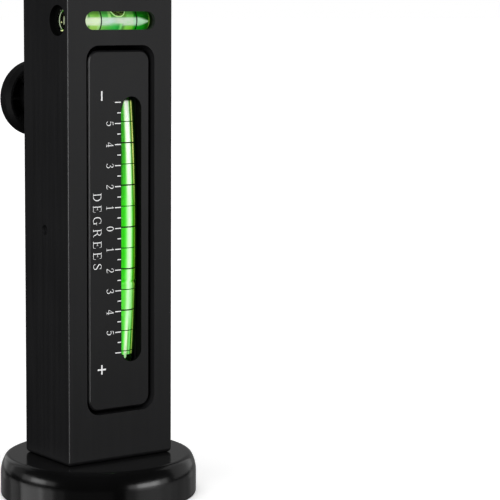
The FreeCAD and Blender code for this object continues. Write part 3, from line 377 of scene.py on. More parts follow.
BUBBLE = camber_liquid(
    "camber_bubble_wall",
    [(0.00, BACK), (0.39, SIDE_SHADE), (0.414, (0.03, 0.14, 0.02)), (0.434, (0.045, 0.43, 0.02)), (0.454, (0.035, 0.42, 0.012)),
     (0.472, (0.18, 0.56, 0.12)), (0.490, (0.74, 1.00, 0.66)), (0.508, (1.00, 1.00, 1.00)), (0.542, (1.00, 1.00, 1.00)),
     (0.556, (0.76, 1.00, 0.70)), (0.570, (0.40, 0.72, 0.32)), (0.582, (0.08, 0.28, 0.03)), (0.594, (0.02, 0.12, 0.0)),
     (0.604, (0.40, 0.58, 0.08)), (0.616, (0.96, 1.00, 0.38)), (0.634, (0.90, 1.00, 0.34)), (0.648, SIDE_SHADE), (1.00, BACK)],
    [(0.00, BACK), (0.345, (0.02, 0.08, 0.012)), (0.366, (0.03, 0.16, 0.02)), (0.388, (0.10, 0.60, 0.05)), (0.410, (0.05, 0.67, 0.012)),
     (0.432, (0.035, 0.68, 0.004)), (0.452, (0.085, 0.73, 0.04)), (0.473, (0.28, 0.82, 0.22)), (0.494, (0.58, 0.95, 0.52)),
     (0.511, (0.71, 0.96, 0.67)), (0.530, (0.71, 0.96, 0.67)), (0.548, (0.52, 0.94, 0.44)), (0.566, (0.27, 0.80, 0.19)),
     (0.585, (0.06, 0.42, 0.006)), (0.603, (0.07, 0.40, 0.0)), (0.620, (0.145, 0.42, 0.004)), (0.636, (0.26, 0.455, 0.06)),
     (0.650, SIDE_SHADE), (1.00, BACK)],
    (0.42, 0.74),
    shoulder_shade=True,
)
CROSS = cross_liquid("cross_liquid")
PLUG = plain("vial_plug", (0.014, 0.065, 0.004), 0.18, spec=0.5, scale=600)
DARK_PLUG = plain("cross_plug_dark", (0.010, 0.014, 0.002), 0.06, spec=0.5, scale=600)
# painted highlight: a pale green-grey for the ring that stands for the glint round the short vial's mouth
LIP_GLINT = plain("lip_painted_glint", (0.028, 0.034, 0.024), 0.5, spec=0.3, scale=3000)
# painted shade: near-black for the films put over walls that lie in shade
SHADE_FILM = plain("painted_shade_film", (0.0010, 0.0011, 0.0010), 0.7, spec=0.05, scale=2500)
STRIP = plain("reflector_white", (0.74, 0.76, 0.70), 0.6, scale=900)
INK = ink("scale_ink", (0.53, 0.53, 0.53))
RING = plain("ring_black", (0.004, 0.012, 0.003), 0.5, spec=0.1, scale=2500)
RING_THIN = plain("ring_green", (0.010, 0.16, 0.004), 0.5, spec=0.1, scale=2500)


def dress(material, *names):
    for name in names:
        o = nodes[name]
        o.data.materials.clear()
        o.data.materials.append(material)


dress(BAR, "body_bar")
dress(ROCK, "rocker_housing")
dress(COVER, "rocker_cover_upper", "rocker_cover_lower")
dress(CUP, "base_cup")
dress(KNOB, "knob_head")
dress(CAP, "knob_cap")
dress(BRASS, "adjuster_barrel", "knob_insert")
dress(BRONZE, "pivot_bushes")
dress(ZINC, "spring_washer", "screw_foot", "cover_screws", "base_screw")
dress(STUD, "knob_stud")
dress(HARD, "thrust_button")
dress(WIRE, "knob_spring", "return_spring")
dress(DARK, "pivot_pin", "base_dowels")
dress(FERRITE, "magnet_ring")
dress(RESIN, "magnet_potting")
dress(ACRYLIC, "camber_vial_tube", "cross_vial_tube")
dress(LIQUID, "camber_vial_fluid")
dress(CROSS, "cross_vial_fluid")
dress(PLUG, "camber_vial_plugs")
dress(DARK_PLUG, "cross_vial_plug")
dress(STRIP, "vial_reflector_strip")


# ---------------------------------------------------------------------------------------------------------------
# Mesh helpers. Points are in millimetres, and the mesh in metres.
# ---------------------------------------------------------------------------------------------------------------
def mesh_object(name, verts, faces, material, smooth=True, uvs=None):
    me = bpy.data.meshes.new(name)
    me.from_pydata([tuple(c * MM for c in v) for v in verts], [], faces)
    me.materials.append(material)
    if uvs is not None:
        layer = me.uv_layers.new(name="UVMap")
        i = 0
        for face_uv in uvs:
            for uv in face_uv:
                layer.data[i].uv = uv
                i += 1
    me.polygons.foreach_set("use_smooth", [smooth] * len(me.polygons))
    me.validate()
    me.update()
    o = bpy.data.objects.new(name, me)
    bpy.context.scene.collection.objects.link(o)
    return o


def flat_where(o, angle=32):
    """Smooth shading that stays sharp on edges over the angle."""
    bpy.context.view_layer.objects.active = o
    o.select_set(True)
    bpy.ops.object.shade_smooth_by_angle(angle=rad(angle))
    o.select_set(False)
    return o


def lathe(name, profile, place, material, around=96, smooth_angle=30, closed=True):
    """Turns a profile of (radius, along) points about an axis. place(along, radius, angle) gives the point."""
    verts, faces = [], []
    rings = []
    for r, a in profile:
        if r < 1e-9:
            rings.append([len(verts)])
            verts.append(place(a, 0.0, 0.0))
        else:
            rings.append(list(range(len(verts), len(verts) + around)))
            verts += [place(a, r, 2 * math.pi * k / around) for k in range(around)]
    pairs = list(zip(rings, rings[1:]))
    if closed:
        pairs.append((rings[-1], rings[0]))
    for p, q in pairs:
        if len(p) == 1 and len(q) == 1:
            continue
        for k in range(around):
            n = (k + 1) % around
            if len(p) == 1:
                faces.append((p[0], q[n], q[k]))
            elif len(q) == 1:
                faces.append((p[k], p[n], q[0]))
            else:
                faces.append((p[k], p[n], q[n], q[k]))
    return finish_mesh(mesh_object(name, verts, faces, material), smooth_angle)


def finish_mesh(o, smooth_angle=30):
    """Makes the normals point outwards, then shades by angle."""
    import bmesh

    bm = bmesh.new()
    bm.from_mesh(o.data)
    bmesh.ops.recalc_face_normals(bm, faces=bm.faces)
    bm.to_mesh(o.data)
    bm.free()
    return flat_where(o, smooth_angle)


# ---------------------------------------------------------------------------------------------------------------
# The long vial: everything in it is swept along its bend
# ---------------------------------------------------------------------------------------------------------------
def on_bend(theta, r, alpha):
    """theta runs up the bend, in radians; alpha runs round the tube, 0 at the front, positive towards +X."""
    out = (0.0, -math.cos(theta), math.sin(theta))
    c = (SIGHT_X, BEND_Y - BEND * math.cos(theta), PIVOT_Z + BEND * math.sin(theta))
    f, s = r * math.cos(alpha), r * math.sin(alpha)
    return (c[0] + s, c[1] + f * out[1], c[2] + f * out[2])


def bent_rod(name, sections, material, around=72):
    """sections: (theta, radius) from one end to the other. A radius of 0 closes the end."""
    verts, faces, uvs, rings = [], [], [], []
    total = sections[-1][0] - sections[0][0]
    along = [(t - sections[0][0]) / total for t, _ in sections]
    for t, r in sections:
        if r < 1e-9:
            rings.append([len(verts)])
            verts.append(on_bend(t, 0.0, 0.0))
        else:
            rings.append(list(range(len(verts), len(verts) + around)))
            # alpha starts at the back, so that the seam is out of sight
            verts += [on_bend(t, r, -math.pi + 2 * math.pi * k / around) for k in range(around)]
    for i in range(len(rings) - 1):
        p, q = rings[i], rings[i + 1]
        for k in range(around):
            n = (k + 1) % around
            u0, u1 = k / around, (k + 1) / around
            if len(p) == 1:
                faces.append((p[0], q[k], q[n]))
                uvs.append(((u0, along[i]), (u0, along[i + 1]), (u1, along[i + 1])))
            elif len(q) == 1:
                faces.append((p[n], p[k], q[0]))
                uvs.append(((u1, along[i]), (u0, along[i]), (u0, along[i + 1])))
            else:
                faces.append((p[n], p[k], q[k], q[n]))
                uvs.append(((u1, along[i]), (u0, along[i]), (u0, along[i + 1]), (u1, along[i + 1])))
    return finish_mesh(mesh_object(name, verts, faces, material, uvs=uvs), 40)


def at_height(z):
    return math.asin((z - PIVOT_Z) / BEND)


half = rad(6.408)
steps = 120
tube = bent_rod(
    "camber_vial_glass",
    [(-half, 0.0), (-half, 3.1), (-half + rad(0.07), 3.42), (-half + rad(0.12), 3.5)]
    + [(-half + rad(0.12) + (2 * half - rad(0.24)) * i / steps, 3.5) for i in range(1, steps)]
    + [(half - rad(0.12), 3.5), (half - rad(0.07), 3.42), (half, 3.1), (half, 0.0)],
    ACRYLIC,
)
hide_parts("camber_vial_tube")

CORE = 2.515
meniscus = at_height(55.6)
inner = rad(6.031)
liquid = bent_rod(
    "camber_liquid_column",
    [(-inner, 0.0), (-inner, CORE)]
    + [(-inner + (meniscus - rad(0.28) + inner) * i / 60, CORE) for i in range(1, 61)]
    + [(meniscus - rad(0.20), CORE - 0.05), (meniscus - rad(0.10), CORE - 0.35), (meniscus - rad(0.30), 1.3), (meniscus - rad(0.42), 0.0)],
    LIQUID,
)
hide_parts("camber_vial_fluid")
bubble = bent_rod(
    "camber_bubble",
    [(meniscus - rad(0.38), 0.0), (meniscus - rad(0.30), 1.2), (meniscus - rad(0.14), 2.1), (meniscus, CORE)]
    + [(meniscus + (inner - meniscus) * i / 80, CORE) for i in range(1, 81)]
    + [(inner, 0.0)],
    BUBBLE,
)


def bent_ring(theta, r0, r1, wide, around=72):
    """A thin ring round the bore: four corners swept round."""
    half_wide = wide / 2 / BEND
    corners = [(theta - half_wide, r0), (theta - half_wide, r1), (theta + half_wide, r1), (theta + half_wide, r0)]
    verts, faces = [], []
    for t, r in corners:
        verts += [on_bend(t, r, 2 * math.pi * k / around) for k in range(around)]
    for c in range(4):
        for k in range(around):
            n = (k + 1) % around
            d = (c + 1) % 4
            faces.append((c * around + k, c * around + n, d * around + n, d * around + k))
    return verts, faces


def rings(name, degrees, wide, thick, material):
    verts, faces = [], []
    for degree in degrees:
        v, f = bent_ring(at_height(ZERO_Z + DEGREE * degree), CORE - 0.05, CORE + thick, wide)
        faces += [tuple(i + len(verts) for i in face) for face in f]
        verts += v
    return finish_mesh(mesh_object(name, verts, faces, material), 40)


strong = rings("camber_rings", (4, 2, 0, -2, -4), 0.30, 0.045, RING)
thin = rings("camber_rings_thin", (5, 3, 1, -1, -3, -5, -6), 0.20, 0.035, RING_THIN)
for piece in (tube, liquid, bubble, strong, thin):
    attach(piece, "scale_rocker")


# ---------------------------------------------------------------------------------------------------------------
# The short vial
# ---------------------------------------------------------------------------------------------------------------
CROSS_Y, CROSS_Z = -5.95, 120.45
lo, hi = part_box("cross_vial_tube")
x0, x1 = lo.x / MM, hi.x / MM
lo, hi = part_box("cross_vial_fluid")
f0, f1 = lo.x / MM, hi.x / MM


def on_cross(a, r, angle):
    return (a, CROSS_Y - r * math.cos(angle), CROSS_Z + r * math.sin(angle))


def dome(tip, radius, count=12):
    """(along, radius) points of a half ball that ends at tip."""
    mid = tip - radius
    return [(mid + radius * math.sin(rad(90 * k / count)), radius * math.cos(rad(90 * k / count))) for k in range(count)] + [(tip, 0.0)]


glass = lathe(
    "cross_vial_glass",
    [(0.0, x0 + 0.46), (2.50, x0 + 0.46), (2.50, x0 + 0.22), (2.72, x0), (3.52, x0), (3.70, x0 + 0.18)]
    + [(3.70, x0 + 0.18 + (x1 - 3.70 - x0 - 0.18) * i / 12) for i in range(1, 12)]
    + [(r, a) for a, r in dome(x1, 3.70)],
    on_cross,
    CROSS_ACRYLIC,
    closed=False,
)
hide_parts("cross_vial_tube")
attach(glass, "gauge_body")


def straight_rod(name, sections, material, around=72):
    verts, faces, uvs, loops = [], [], [], []
    total = sections[-1][0] - sections[0][0]
    along = [(a - sections[0][0]) / total for a, _ in sections]
    for a, r in sections:
        if r < 1e-9:
            loops.append([len(verts)])
            verts.append(on_cross(a, 0.0, 0.0))
        else:
            loops.append(list(range(len(verts), len(verts) + around)))
            verts += [on_cross(a, r, -math.pi + 2 * math.pi * k / around) for k in range(around)]
    for i in range(len(loops) - 1):
        p, q = loops[i], loops[i + 1]
        for k in range(around):
            n = (k + 1) % around
            u0, u1 = k / around, (k + 1) / around
            if len(p) == 1:
                faces.append((p[0], q[k], q[n]))
                uvs.append(((u0, along[i]), (u0, along[i + 1]), (u1, along[i + 1])))
            elif len(q) == 1:
                faces.append((p[n], p[k], q[0]))
                uvs.append(((u1, along[i]), (u0, along[i]), (u0, along[i + 1])))
            else:
                faces.append((p[n], p[k], q[k], q[n]))
                uvs.append(((u1, along[i]), (u0, along[i]), (u0, along[i + 1]), (u1, along[i + 1])))
    return finish_mesh(mesh_object(name, verts, faces, material, uvs=uvs), 40)


column = straight_rod(
    "cross_liquid_column",
    [(f0, 0.0), (f0, CORE)] + [(f0 + (f1 - CORE - f0) * i / 40, CORE) for i in range(1, 40)] + dome(f1, CORE),
    CROSS,
)
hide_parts("cross_vial_fluid")
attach(column, "gauge_body")

# the plug in the open end: its face bulges out; a ring round the bore's mouth, lit by the lamps, is coloured pale as a
# painted highlight for the glint on the tube's chamfered mouth
lo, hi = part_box("cross_vial_plug")
p0, p1 = lo.x / MM, hi.x / MM
plug_face = [(2.46 * math.sin(rad(90 * k / 10)), p0 + 0.62 - 0.42 * math.cos(rad(90 * k / 10))) for k in range(11)]
plug = lathe("cross_plug_domed", plug_face + [(2.46, p1 - 0.12), (2.34, p1 - 0.01), (0.0, p1 - 0.01)], on_cross, DARK_PLUG, closed=False)
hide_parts("cross_vial_plug")
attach(plug, "gauge_body")
lip = lathe(
    "cross_bore_lip",
    [(2.66, x0 + 0.28), (2.74, x0 + 0.22), (2.84, x0 + 0.26), (2.82, x0 + 0.36), (2.66, x0 + 0.36)],
    on_cross,
    LIP_GLINT,
)
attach(lip, "gauge_body")
# painted shade: a near-black film over the tube's end and round the bore in the bar, where the bore lies in shade
end_film = lathe("cross_end_shade_film", [(2.70, x0 - 0.02), (3.72, x0 - 0.02), (3.72, x0 + 0.03), (2.70, x0 + 0.03)], on_cross, SHADE_FILM)
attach(end_film, "gauge_body")
bore_film = lathe("cross_bore_shade_film", [(3.79, -15.20), (3.79, x0), (3.75, x0), (3.75, -15.20)], on_cross, SHADE_FILM)
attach(bore_film, "gauge_body")


def bead(name, x, y, z, rx, ry, rz, material, nu=28, nv=14):
    """A small ellipsoid; each one here carries painted light."""
    verts, faces = [(x - rx, y, z)], []
    for j in range(1, nv):
        phi = math.pi * j / nv
        for i in range(nu):
            a = 2 * math.pi * i / nu
            verts.append((x - rx * math.cos(phi), y + ry * math.sin(phi) * math.cos(a), z + rz * math.sin(phi) * math.sin(a)))
    verts.append((x + rx, y, z))
    last = len(verts) - 1
    for i in range(nu):
        n = (i + 1) % nu
        faces.append((0, 1 + i, 1 + n))
        for j in range(nv - 2):
            faces.append((1 + j * nu + i, 1 + (j + 1) * nu + i, 1 + (j + 1) * nu + n, 1 + j * nu + n))
        faces.append((last, 1 + (nv - 2) * nu + n, 1 + (nv - 2) * nu + i))
    return finish_mesh(mesh_object(name, verts, faces, material), 60)


# painted light: glowing beads on the plug's face stand for glints on it
LEAK_GLOW = plain("plug_painted_glow", (0.50, 0.55, 0.22), 0.12, spec=0.5, scale=2500)
leak_glow_shader = bpy.data.materials["plug_painted_glow"].node_tree.nodes["Principled BSDF"]
leak_glow_shader.inputs["Emission Color"].default_value = (0.75, 0.80, 0.45, 1)
leak_glow_shader.inputs["Emission Strength"].default_value = 0.62
GLINT = plain("cross_plug_glint", (0.45, 0.50, 0.36), 0.10, spec=0.5, scale=2500)
glow_of_glint = bpy.data.materials["cross_plug_glint"].node_tree.nodes["Principled BSDF"]
glow_of_glint.inputs["Emission Color"].default_value = (0.60, 0.66, 0.46, 1)
glow_of_glint.inputs["Emission Strength"].default_value = 0.30
for name, y, z, ry, rz, lift, material in (
    ("cross_plug_painted_glint", -5.72, 120.42, 0.40, 1.12, 0.03, GLINT),
    ("cross_plug_glint_spot", -4.45, 119.98, 0.34, 0.22, 0.03, LEAK_GLOW),
):
    away = math.hypot(y - CROSS_Y, z - CROSS_Z)
    face_x = p0 + 0.62 - 0.42 * math.sqrt(max(0.0, 1 - (away / 2.46) ** 2))
    glow_bead = bead(name, face_x - lift, y, z, 0.09, ry, rz, material)
    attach(glow_bead, "gauge_body")
# painted light: a glowing blob for the light that escapes at the bottom of the bore's mouth
glow_bead = bead("cross_plug_glow_blob", x0 + 0.30, -5.20, CROSS_Z - 2.72, 0.16, 0.55, 0.42, LEAK_GLOW)
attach(glow_bead, "gauge_body")

# painted highlight: a glowing pale bead for the bright tip of the long vial's liquid at its lower end
TIP_GLOW = plain("liquid_tip_glow", (0.45, 0.75, 0.40), 0.2, spec=0.4, scale=1800)
glow_of_tip = bpy.data.materials["liquid_tip_glow"].node_tree.nodes["Principled BSDF"]
glow_of_tip.inputs["Emission Color"].default_value = (0.50, 0.86, 0.45, 1)
glow_of_tip.inputs["Emission Strength"].default_value = 0.65
tip_x, tip_y, tip_z = on_bend(at_height(36.25), 2.58, 0.0)
tip = bead("camber_liquid_tip", tip_x, tip_y, tip_z, 0.34, 0.07, 0.72, TIP_GLOW)
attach(tip, "scale_rocker")

# bubble at the top of the bore, between the two rings: a skin that follows the bore, with a pale rim. Painted light:
# the skin glows through its emission, and the rim is a glowing painted highlight
MID = 1.0
BUBBLE_X, BUBBLE_LONG, BUBBLE_LOW = MID - 0.30, 2.30, 70.0


def on_skin(share, turn, lift):
    """share runs from the bubble's middle to its rim, turn round it."""
    x = BUBBLE_X + BUBBLE_LONG * share * math.copysign(abs(math.cos(turn)) ** 0.8, math.cos(turn))
    angle = 90.0 + BUBBLE_LOW * share * math.copysign(abs(math.sin(turn)) ** 0.8, math.sin(turn))
    return on_cross(x, CORE + lift, rad(angle))


verts, faces = [], []
nu, nv = 72, 12
for side, low in ((1, 0.0), (-1, -0.05)):
    for j in range(nv + 1):
        share = j / nv
        lift = 0.06 * math.sqrt(1 - share * share) if side > 0 else -0.05
        verts += [on_skin(share, 2 * math.pi * i / nu, lift) for i in range(nu)]
deck = (nv + 1) * nu
for i in range(nu):
    n = (i + 1) % nu
    for j in range(nv):
        faces.append((j * nu + i, j * nu + n, (j + 1) * nu + n, (j + 1) * nu + i))
        faces.append((deck + j * nu + i, deck + (j + 1) * nu + i, deck + (j + 1) * nu + n, deck + j * nu + n))
    faces.append((nv * nu + i, nv * nu + n, deck + nv * nu + n, deck + nv * nu + i))
BUBBLE_SKIN = Mat("cross_bubble_skin", (0.012, 0.05, 0.010), 0.05, Specular_IOR_Level=0.5)
BUBBLE_SKIN.tint(BUBBLE_SKIN.noise(1500, stretch=(1, 1, 2), detail=2.0), (0.020, 0.035, 0.008), (0.16, 0.24, 0.06), low=0.38, high=0.66)
glow(BUBBLE_SKIN, BUBBLE_SKIN.p.inputs["Base Color"].links[0].from_socket, 0.5)
cross_bubble = mesh_object("cross_bubble", verts, faces, BUBBLE_SKIN.m)
weld = cross_bubble.modifiers.new("weld", "WELD")
weld.merge_threshold = 1e-6
bpy.context.view_layer.objects.active = cross_bubble
cross_bubble.select_set(True)
bpy.ops.object.modifier_apply(modifier="weld")
cross_bubble.select_set(False)
finish_mesh(cross_bubble, 60)
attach(cross_bubble, "gauge_body")

# painted highlight: the bubble's bright rim, made to glow
RIM_HIGHLIGHT = plain("bubble_rim_highlight", (0.55, 0.80, 0.38), 0.2, spec=0.4, scale=1800)
rim_glow = bpy.data.materials["bubble_rim_highlight"].node_tree.nodes["Principled BSDF"]
rim_glow.inputs["Emission Color"].default_value = (0.55, 0.78, 0.38, 1)
rim_glow.inputs["Emission Strength"].default_value = 0.6
verts, faces = [], []
for i in range(nu):
    turn = 2 * math.pi * i / nu
    wide = 0.10 + 0.07 * max(0.0, -math.cos(turn))
    for share, lift in ((1.0 - wide / 2.45, 0.055), (1.0 + wide / 2.45, 0.055), (1.0 + wide / 2.45, -0.04), (1.0 - wide / 2.45, -0.04)):
        verts.append(on_skin(share, turn, lift))
for i in range(nu):
    n = (i + 1) % nu
    for c in range(4):
        e = (c + 1) % 4
        faces.append((4 * i + c, 4 * i + e, 4 * n + e, 4 * n + c))
bubble_rim_highlight = finish_mesh(mesh_object("cross_bubble_rim", verts, faces, RIM_HIGHLIGHT), 60)
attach(bubble_rim_highlight, "gauge_body")


def cross_ring(a, wide, thick, around=72):
    corners = [(a - wide / 2, CORE - 0.05), (a - wide / 2, CORE + thick), (a + wide / 2, CORE + thick), (a + wide / 2, CORE - 0.05)]
    v, f = [], []
    for x, r in corners:
        v += [on_cross(x, r, 2 * math.pi * k / around) for k in range(around)]
    for c in range(4):
        for k in range(around):
            n, e = (k + 1) % around, (c + 1) % 4
            f.append((c * around + k, c * around + n, e * around + n, e * around + k))
    return v, f


verts, faces = [], []
for a in (-4.45, 5.90):
    v, f = cross_ring(a, 0.30, 0.045)
    faces += [tuple(i + len(verts) for i in face) for face in f]
    verts += v
cross_rings = finish_mesh(mesh_object("cross_rings", verts, faces, RING), 40)
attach(cross_rings, "gauge_body")


# ---------------------------------------------------------------------------------------------------------------
# Scale: half-degree ticks, numerals with serifs, a minus and a plus sign, and the unit's name. All pad printed.
# Each stroke is a thin closed ribbon: points are (x, y, half width) in capital heights.
# ---------------------------------------------------------------------------------------------------------------
def loop_zero():
    pts = []
    for k in range(20):
        a = 2 * math.pi * k / 20
        pts.append((0.30 + 0.225 * math.cos(a), 0.5 + 0.462 * math.sin(a), 0.030 + 0.046 * abs(math.cos(a)) ** 1.4))
    return pts


STEM_SERIFS = [
    [(0.02, 0.026, 0.026), (0.30, 0.026, 0.026)],
    [(0.02, 0.974, 0.026), (0.30, 0.974, 0.026)],
]
GLYPHS = {
    "0": (0.60, [("loop", loop_zero())]),
    "1": (0.56, [
        ("line", [(0.30, 0.02, 0.062), (0.30, 0.98, 0.062)]),
        ("line", [(0.10, 0.79, 0.020), (0.20, 0.86, 0.032), (0.30, 0.96, 0.030)]),
        ("line", [(0.10, 0.026, 0.026), (0.50, 0.026, 0.026)]),
    ]),
    "2": (0.60, [
        ("line", [(0.115, 0.70, 0.055), (0.11, 0.80, 0.045), (0.17, 0.92, 0.030), (0.29, 0.965, 0.030), (0.44, 0.90, 0.052), (0.49, 0.74, 0.066), (0.43, 0.55, 0.056), (0.27, 0.33, 0.038), (0.08, 0.07, 0.030)]),
        ("line", [(0.07, 0.055, 0.050), (0.28, 0.055, 0.058), (0.45, 0.050, 0.046), (0.53, 0.10, 0.026), (0.55, 0.24, 0.018)]),
    ]),
    "3": (0.60, [
        ("line", [(0.10, 0.78, 0.048), (0.14, 0.90, 0.034), (0.28, 0.965, 0.030), (0.42, 0.92, 0.050), (0.475, 0.77, 0.060), (0.41, 0.62, 0.042), (0.25, 0.54, 0.024)]),
        ("line", [(0.25, 0.54, 0.024), (0.41, 0.50, 0.038), (0.51, 0.37, 0.062), (0.51, 0.20, 0.066), (0.40, 0.06, 0.040), (0.25, 0.03, 0.030), (0.12, 0.08, 0.036), (0.08, 0.20, 0.052)]),
    ]),
    "4": (0.62, [
        ("line", [(0.42, 0.95, 0.030), (0.23, 0.63, 0.028), (0.05, 0.30, 0.028)]),
        ("line", [(0.03, 0.285, 0.030), (0.60, 0.285, 0.030)]),
        ("line", [(0.43, 0.02, 0.062), (0.43, 0.97, 0.062)]),
        ("line", [(0.27, 0.026, 0.026), (0.59, 0.026, 0.026)]),
    ]),
    "5": (0.60, [
        ("line", [(0.13, 0.935, 0.048), (0.32, 0.930, 0.052), (0.50, 0.965, 0.030)]),
        ("line", [(0.135, 0.93, 0.026), (0.105, 0.53, 0.026)]),
        ("line", [(0.105, 0.52, 0.024), (0.21, 0.60, 0.030), (0.35, 0.61, 0.040), (0.49, 0.50, 0.060), (0.52, 0.30, 0.068), (0.42, 0.09, 0.046), (0.27, 0.03, 0.030), (0.13, 0.08, 0.036), (0.09, 0.19, 0.052)]),
    ]),
    "D": (0.86, [
        ("line", [(0.17, 0.02, 0.062), (0.17, 0.98, 0.062)]),
        *[("line", s) for s in STEM_SERIFS],
        ("line", [(0.17, 0.972, 0.028), (0.40, 0.965, 0.030), (0.63, 0.85, 0.048), (0.76, 0.50, 0.070), (0.63, 0.15, 0.048), (0.40, 0.035, 0.030), (0.17, 0.028, 0.028)]),
    ]),
    "E": (0.76, [
        ("line", [(0.17, 0.02, 0.062), (0.17, 0.98, 0.062)]),
        ("line", [(0.02, 0.972, 0.028), (0.64, 0.972, 0.028)]),
        ("line", [(0.635, 0.99, 0.020), (0.655, 0.74, 0.016)]),
        ("line", [(0.17, 0.515, 0.026), (0.46, 0.515, 0.026)]),
        ("line", [(0.46, 0.63, 0.018), (0.46, 0.40, 0.018)]),
        ("line", [(0.02, 0.028, 0.028), (0.68, 0.028, 0.028)]),
        ("line", [(0.675, 0.01, 0.020), (0.71, 0.30, 0.016)]),
    ]),
    "G": (0.92, [
        ("line", [(0.72, 0.72, 0.018), (0.66, 0.89, 0.026), (0.45, 0.968, 0.030), (0.21, 0.84, 0.054), (0.11, 0.50, 0.070), (0.21, 0.16, 0.054), (0.45, 0.032, 0.030), (0.62, 0.07, 0.032), (0.72, 0.16, 0.040)]),
        ("line", [(0.73, 0.05, 0.056), (0.73, 0.41, 0.056)]),
        ("line", [(0.56, 0.42, 0.024), (0.89, 0.42, 0.024)]),
        ("line", [(0.725, 0.70, 0.020), (0.725, 0.98, 0.020)]),
    ]),
    "R": (0.88, [
        ("line", [(0.17, 0.02, 0.062), (0.17, 0.98, 0.062)]),
        *[("line", s) for s in STEM_SERIFS],
        ("line", [(0.17, 0.972, 0.028), (0.40, 0.972, 0.028), (0.58, 0.90, 0.046), (0.64, 0.745, 0.062), (0.57, 0.59, 0.044), (0.38, 0.515, 0.026), (0.17, 0.510, 0.026)]),
        ("line", [(0.38, 0.51, 0.030), (0.53, 0.43, 0.050), (0.61, 0.24, 0.056), (0.68, 0.07, 0.042), (0.85, 0.045, 0.020)]),
    ]),
    "S": (0.70, [
        ("line", [(0.585, 0.74, 0.020), (0.54, 0.89, 0.026), (0.37, 0.968, 0.030), (0.19, 0.91, 0.046), (0.13, 0.76, 0.060), (0.24, 0.61, 0.068), (0.44, 0.49, 0.070), (0.58, 0.35, 0.068), (0.59, 0.18, 0.056), (0.46, 0.06, 0.038), (0.31, 0.032, 0.030), (0.15, 0.10, 0.026), (0.095, 0.27, 0.020)]),
        ("line", [(0.585, 0.70, 0.018), (0.585, 0.97, 0.018)]),
        ("line", [(0.095, 0.04, 0.018), (0.095, 0.31, 0.018)]),
    ]),
    "-": (0.90, [("line", [(0.05, 0.5, 0.085), (0.85, 0.5, 0.085)])]),
    "+": (0.90, [
        ("line", [(0.05, 0.5, 0.085), (0.85, 0.5, 0.085)]),
        ("line", [(0.45, 0.10, 0.085), (0.45, 0.90, 0.085)]),
    ]),
}


def smooth_path(pts, closed, fine=6):
    """Catmull-Rom through the points, their widths too."""
    n = len(pts)
    if n == 2:
        return pts
    out = []
    last = n if closed else n - 1
    for i in range(last):
        if closed:
            p0, p1, p2, p3 = pts[i - 1], pts[i], pts[(i + 1) % n], pts[(i + 2) % n]
        else:
            p0, p1, p2, p3 = pts[max(i - 1, 0)], pts[i], pts[i + 1], pts[min(i + 2, n - 1)]
        for j in range(fine):
            t = j / fine
            out.append(tuple(
                0.5 * (2 * b + (c - a) * t + (2 * a - 5 * b + 4 * c - d) * t * t + (3 * b - a - 3 * c + d) * t ** 3)
                for a, b, c, d in zip(p0, p1, p2, p3)
            ))
    if not closed:
        out.append(pts[-1])
    return out


class Print:
    """Collects ribbons on the rocker's face. Each has its own thickness, so that crossing ones never share a plane."""

    def __init__(self):
        self.verts, self.faces, self.n = [], [], 0

    def ribbon(self, pts, closed):
        """pts: (X, Z, half width) in millimetres."""
        top = FACE - 0.030 - 0.0011 * (self.n % 7)
        self.n += 1
        base = len(self.verts)
        count = len(pts)
        for i, (x, z, w) in enumerate(pts):
            a = pts[i - 1] if closed or i else pts[i]
            b = pts[(i + 1) % count] if closed or i < count - 1 else pts[i]
            dx, dz = b[0] - a[0], b[1] - a[1]
            size = math.hypot(dx, dz) or 1.0
            nx, nz = -dz / size * w, dx / size * w
            for sx, y in ((1, top), (-1, top), (-1, FACE + 0.01), (1, FACE + 0.01)):
                self.verts.append((x + sx * nx, y, z + sx * nz))
        for i in range(count if closed else count - 1):
            j = (i + 1) % count
            for c in range(4):
                d = (c + 1) % 4
                self.faces.append((base + 4 * i + c, base + 4 * i + d, base + 4 * j + d, base + 4 * j + c))
        if not closed:
            for i in (0, count - 1):
                self.faces.append(tuple(base + 4 * i + c for c in range(4)))

    def glyph(self, char, x_base, z_left, cap):
        """Turned a quarter clockwise: the glyph's right points down, its top towards +X."""
        _, strokes = GLYPHS[char]
        for kind, pts in strokes:
            closed = kind == "loop"
            path = smooth_path(pts, closed)
            self.ribbon([(x_base + y * cap, z_left - x * cap, 0.82 * w * cap) for x, y, w in path], closed)

    def word(self, text, x_base, z_mid, cap, gap=0.0):
        wide = sum(GLYPHS[c][0] * cap for c in text) + gap * (len(text) - 1)
        z = z_mid + wide / 2
        for c in text:
            self.glyph(c, x_base, z, cap)
            z -= GLYPHS[c][0] * cap + gap


marks = Print()
EDGE = 0.44  # X where the ticks end, at the window's edge
for half_degrees in range(-12, 13):
    z = ZERO_Z + DEGREE * half_degrees / 2
    start = -1.30 if half_degrees % 2 == 0 else -0.60
    marks.ribbon([(start, z, 0.135), (EDGE, z, 0.135)], False)
for degree in range(-5, 6):
    marks.word(str(abs(degree)), -3.81, ZERO_Z + DEGREE * degree + 0.03, 2.12)
marks.word("DEGREES", -7.70, 68.4, 2.42, gap=0.92)
marks.word("-", -6.60, 102.0, 3.0)
marks.word("+", -6.75, 33.6, 3.0)
print_piece = finish_mesh(mesh_object("scale_print", marks.verts, marks.faces, INK), 30)
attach(print_piece, "scale_rocker")


# painted shade: a near-black film on the wall of the sight window, where it lies in shade: a stadium tube, one skin
# 0.03 mm thick
def stadium(inset, fine=24):
    r = WINDOW_R - inset
    low, high = WINDOW_LOW + WINDOW_R, WINDOW_HIGH - WINDOW_R
    pts = [(SIGHT_X + r * math.cos(math.pi * k / fine), high + r * math.sin(math.pi * k / fine)) for k in range(fine + 1)]
    pts += [(SIGHT_X - r * math.cos(math.pi * k / fine), low - r * math.sin(math.pi * k / fine)) for k in range(fine + 1)]
    return pts


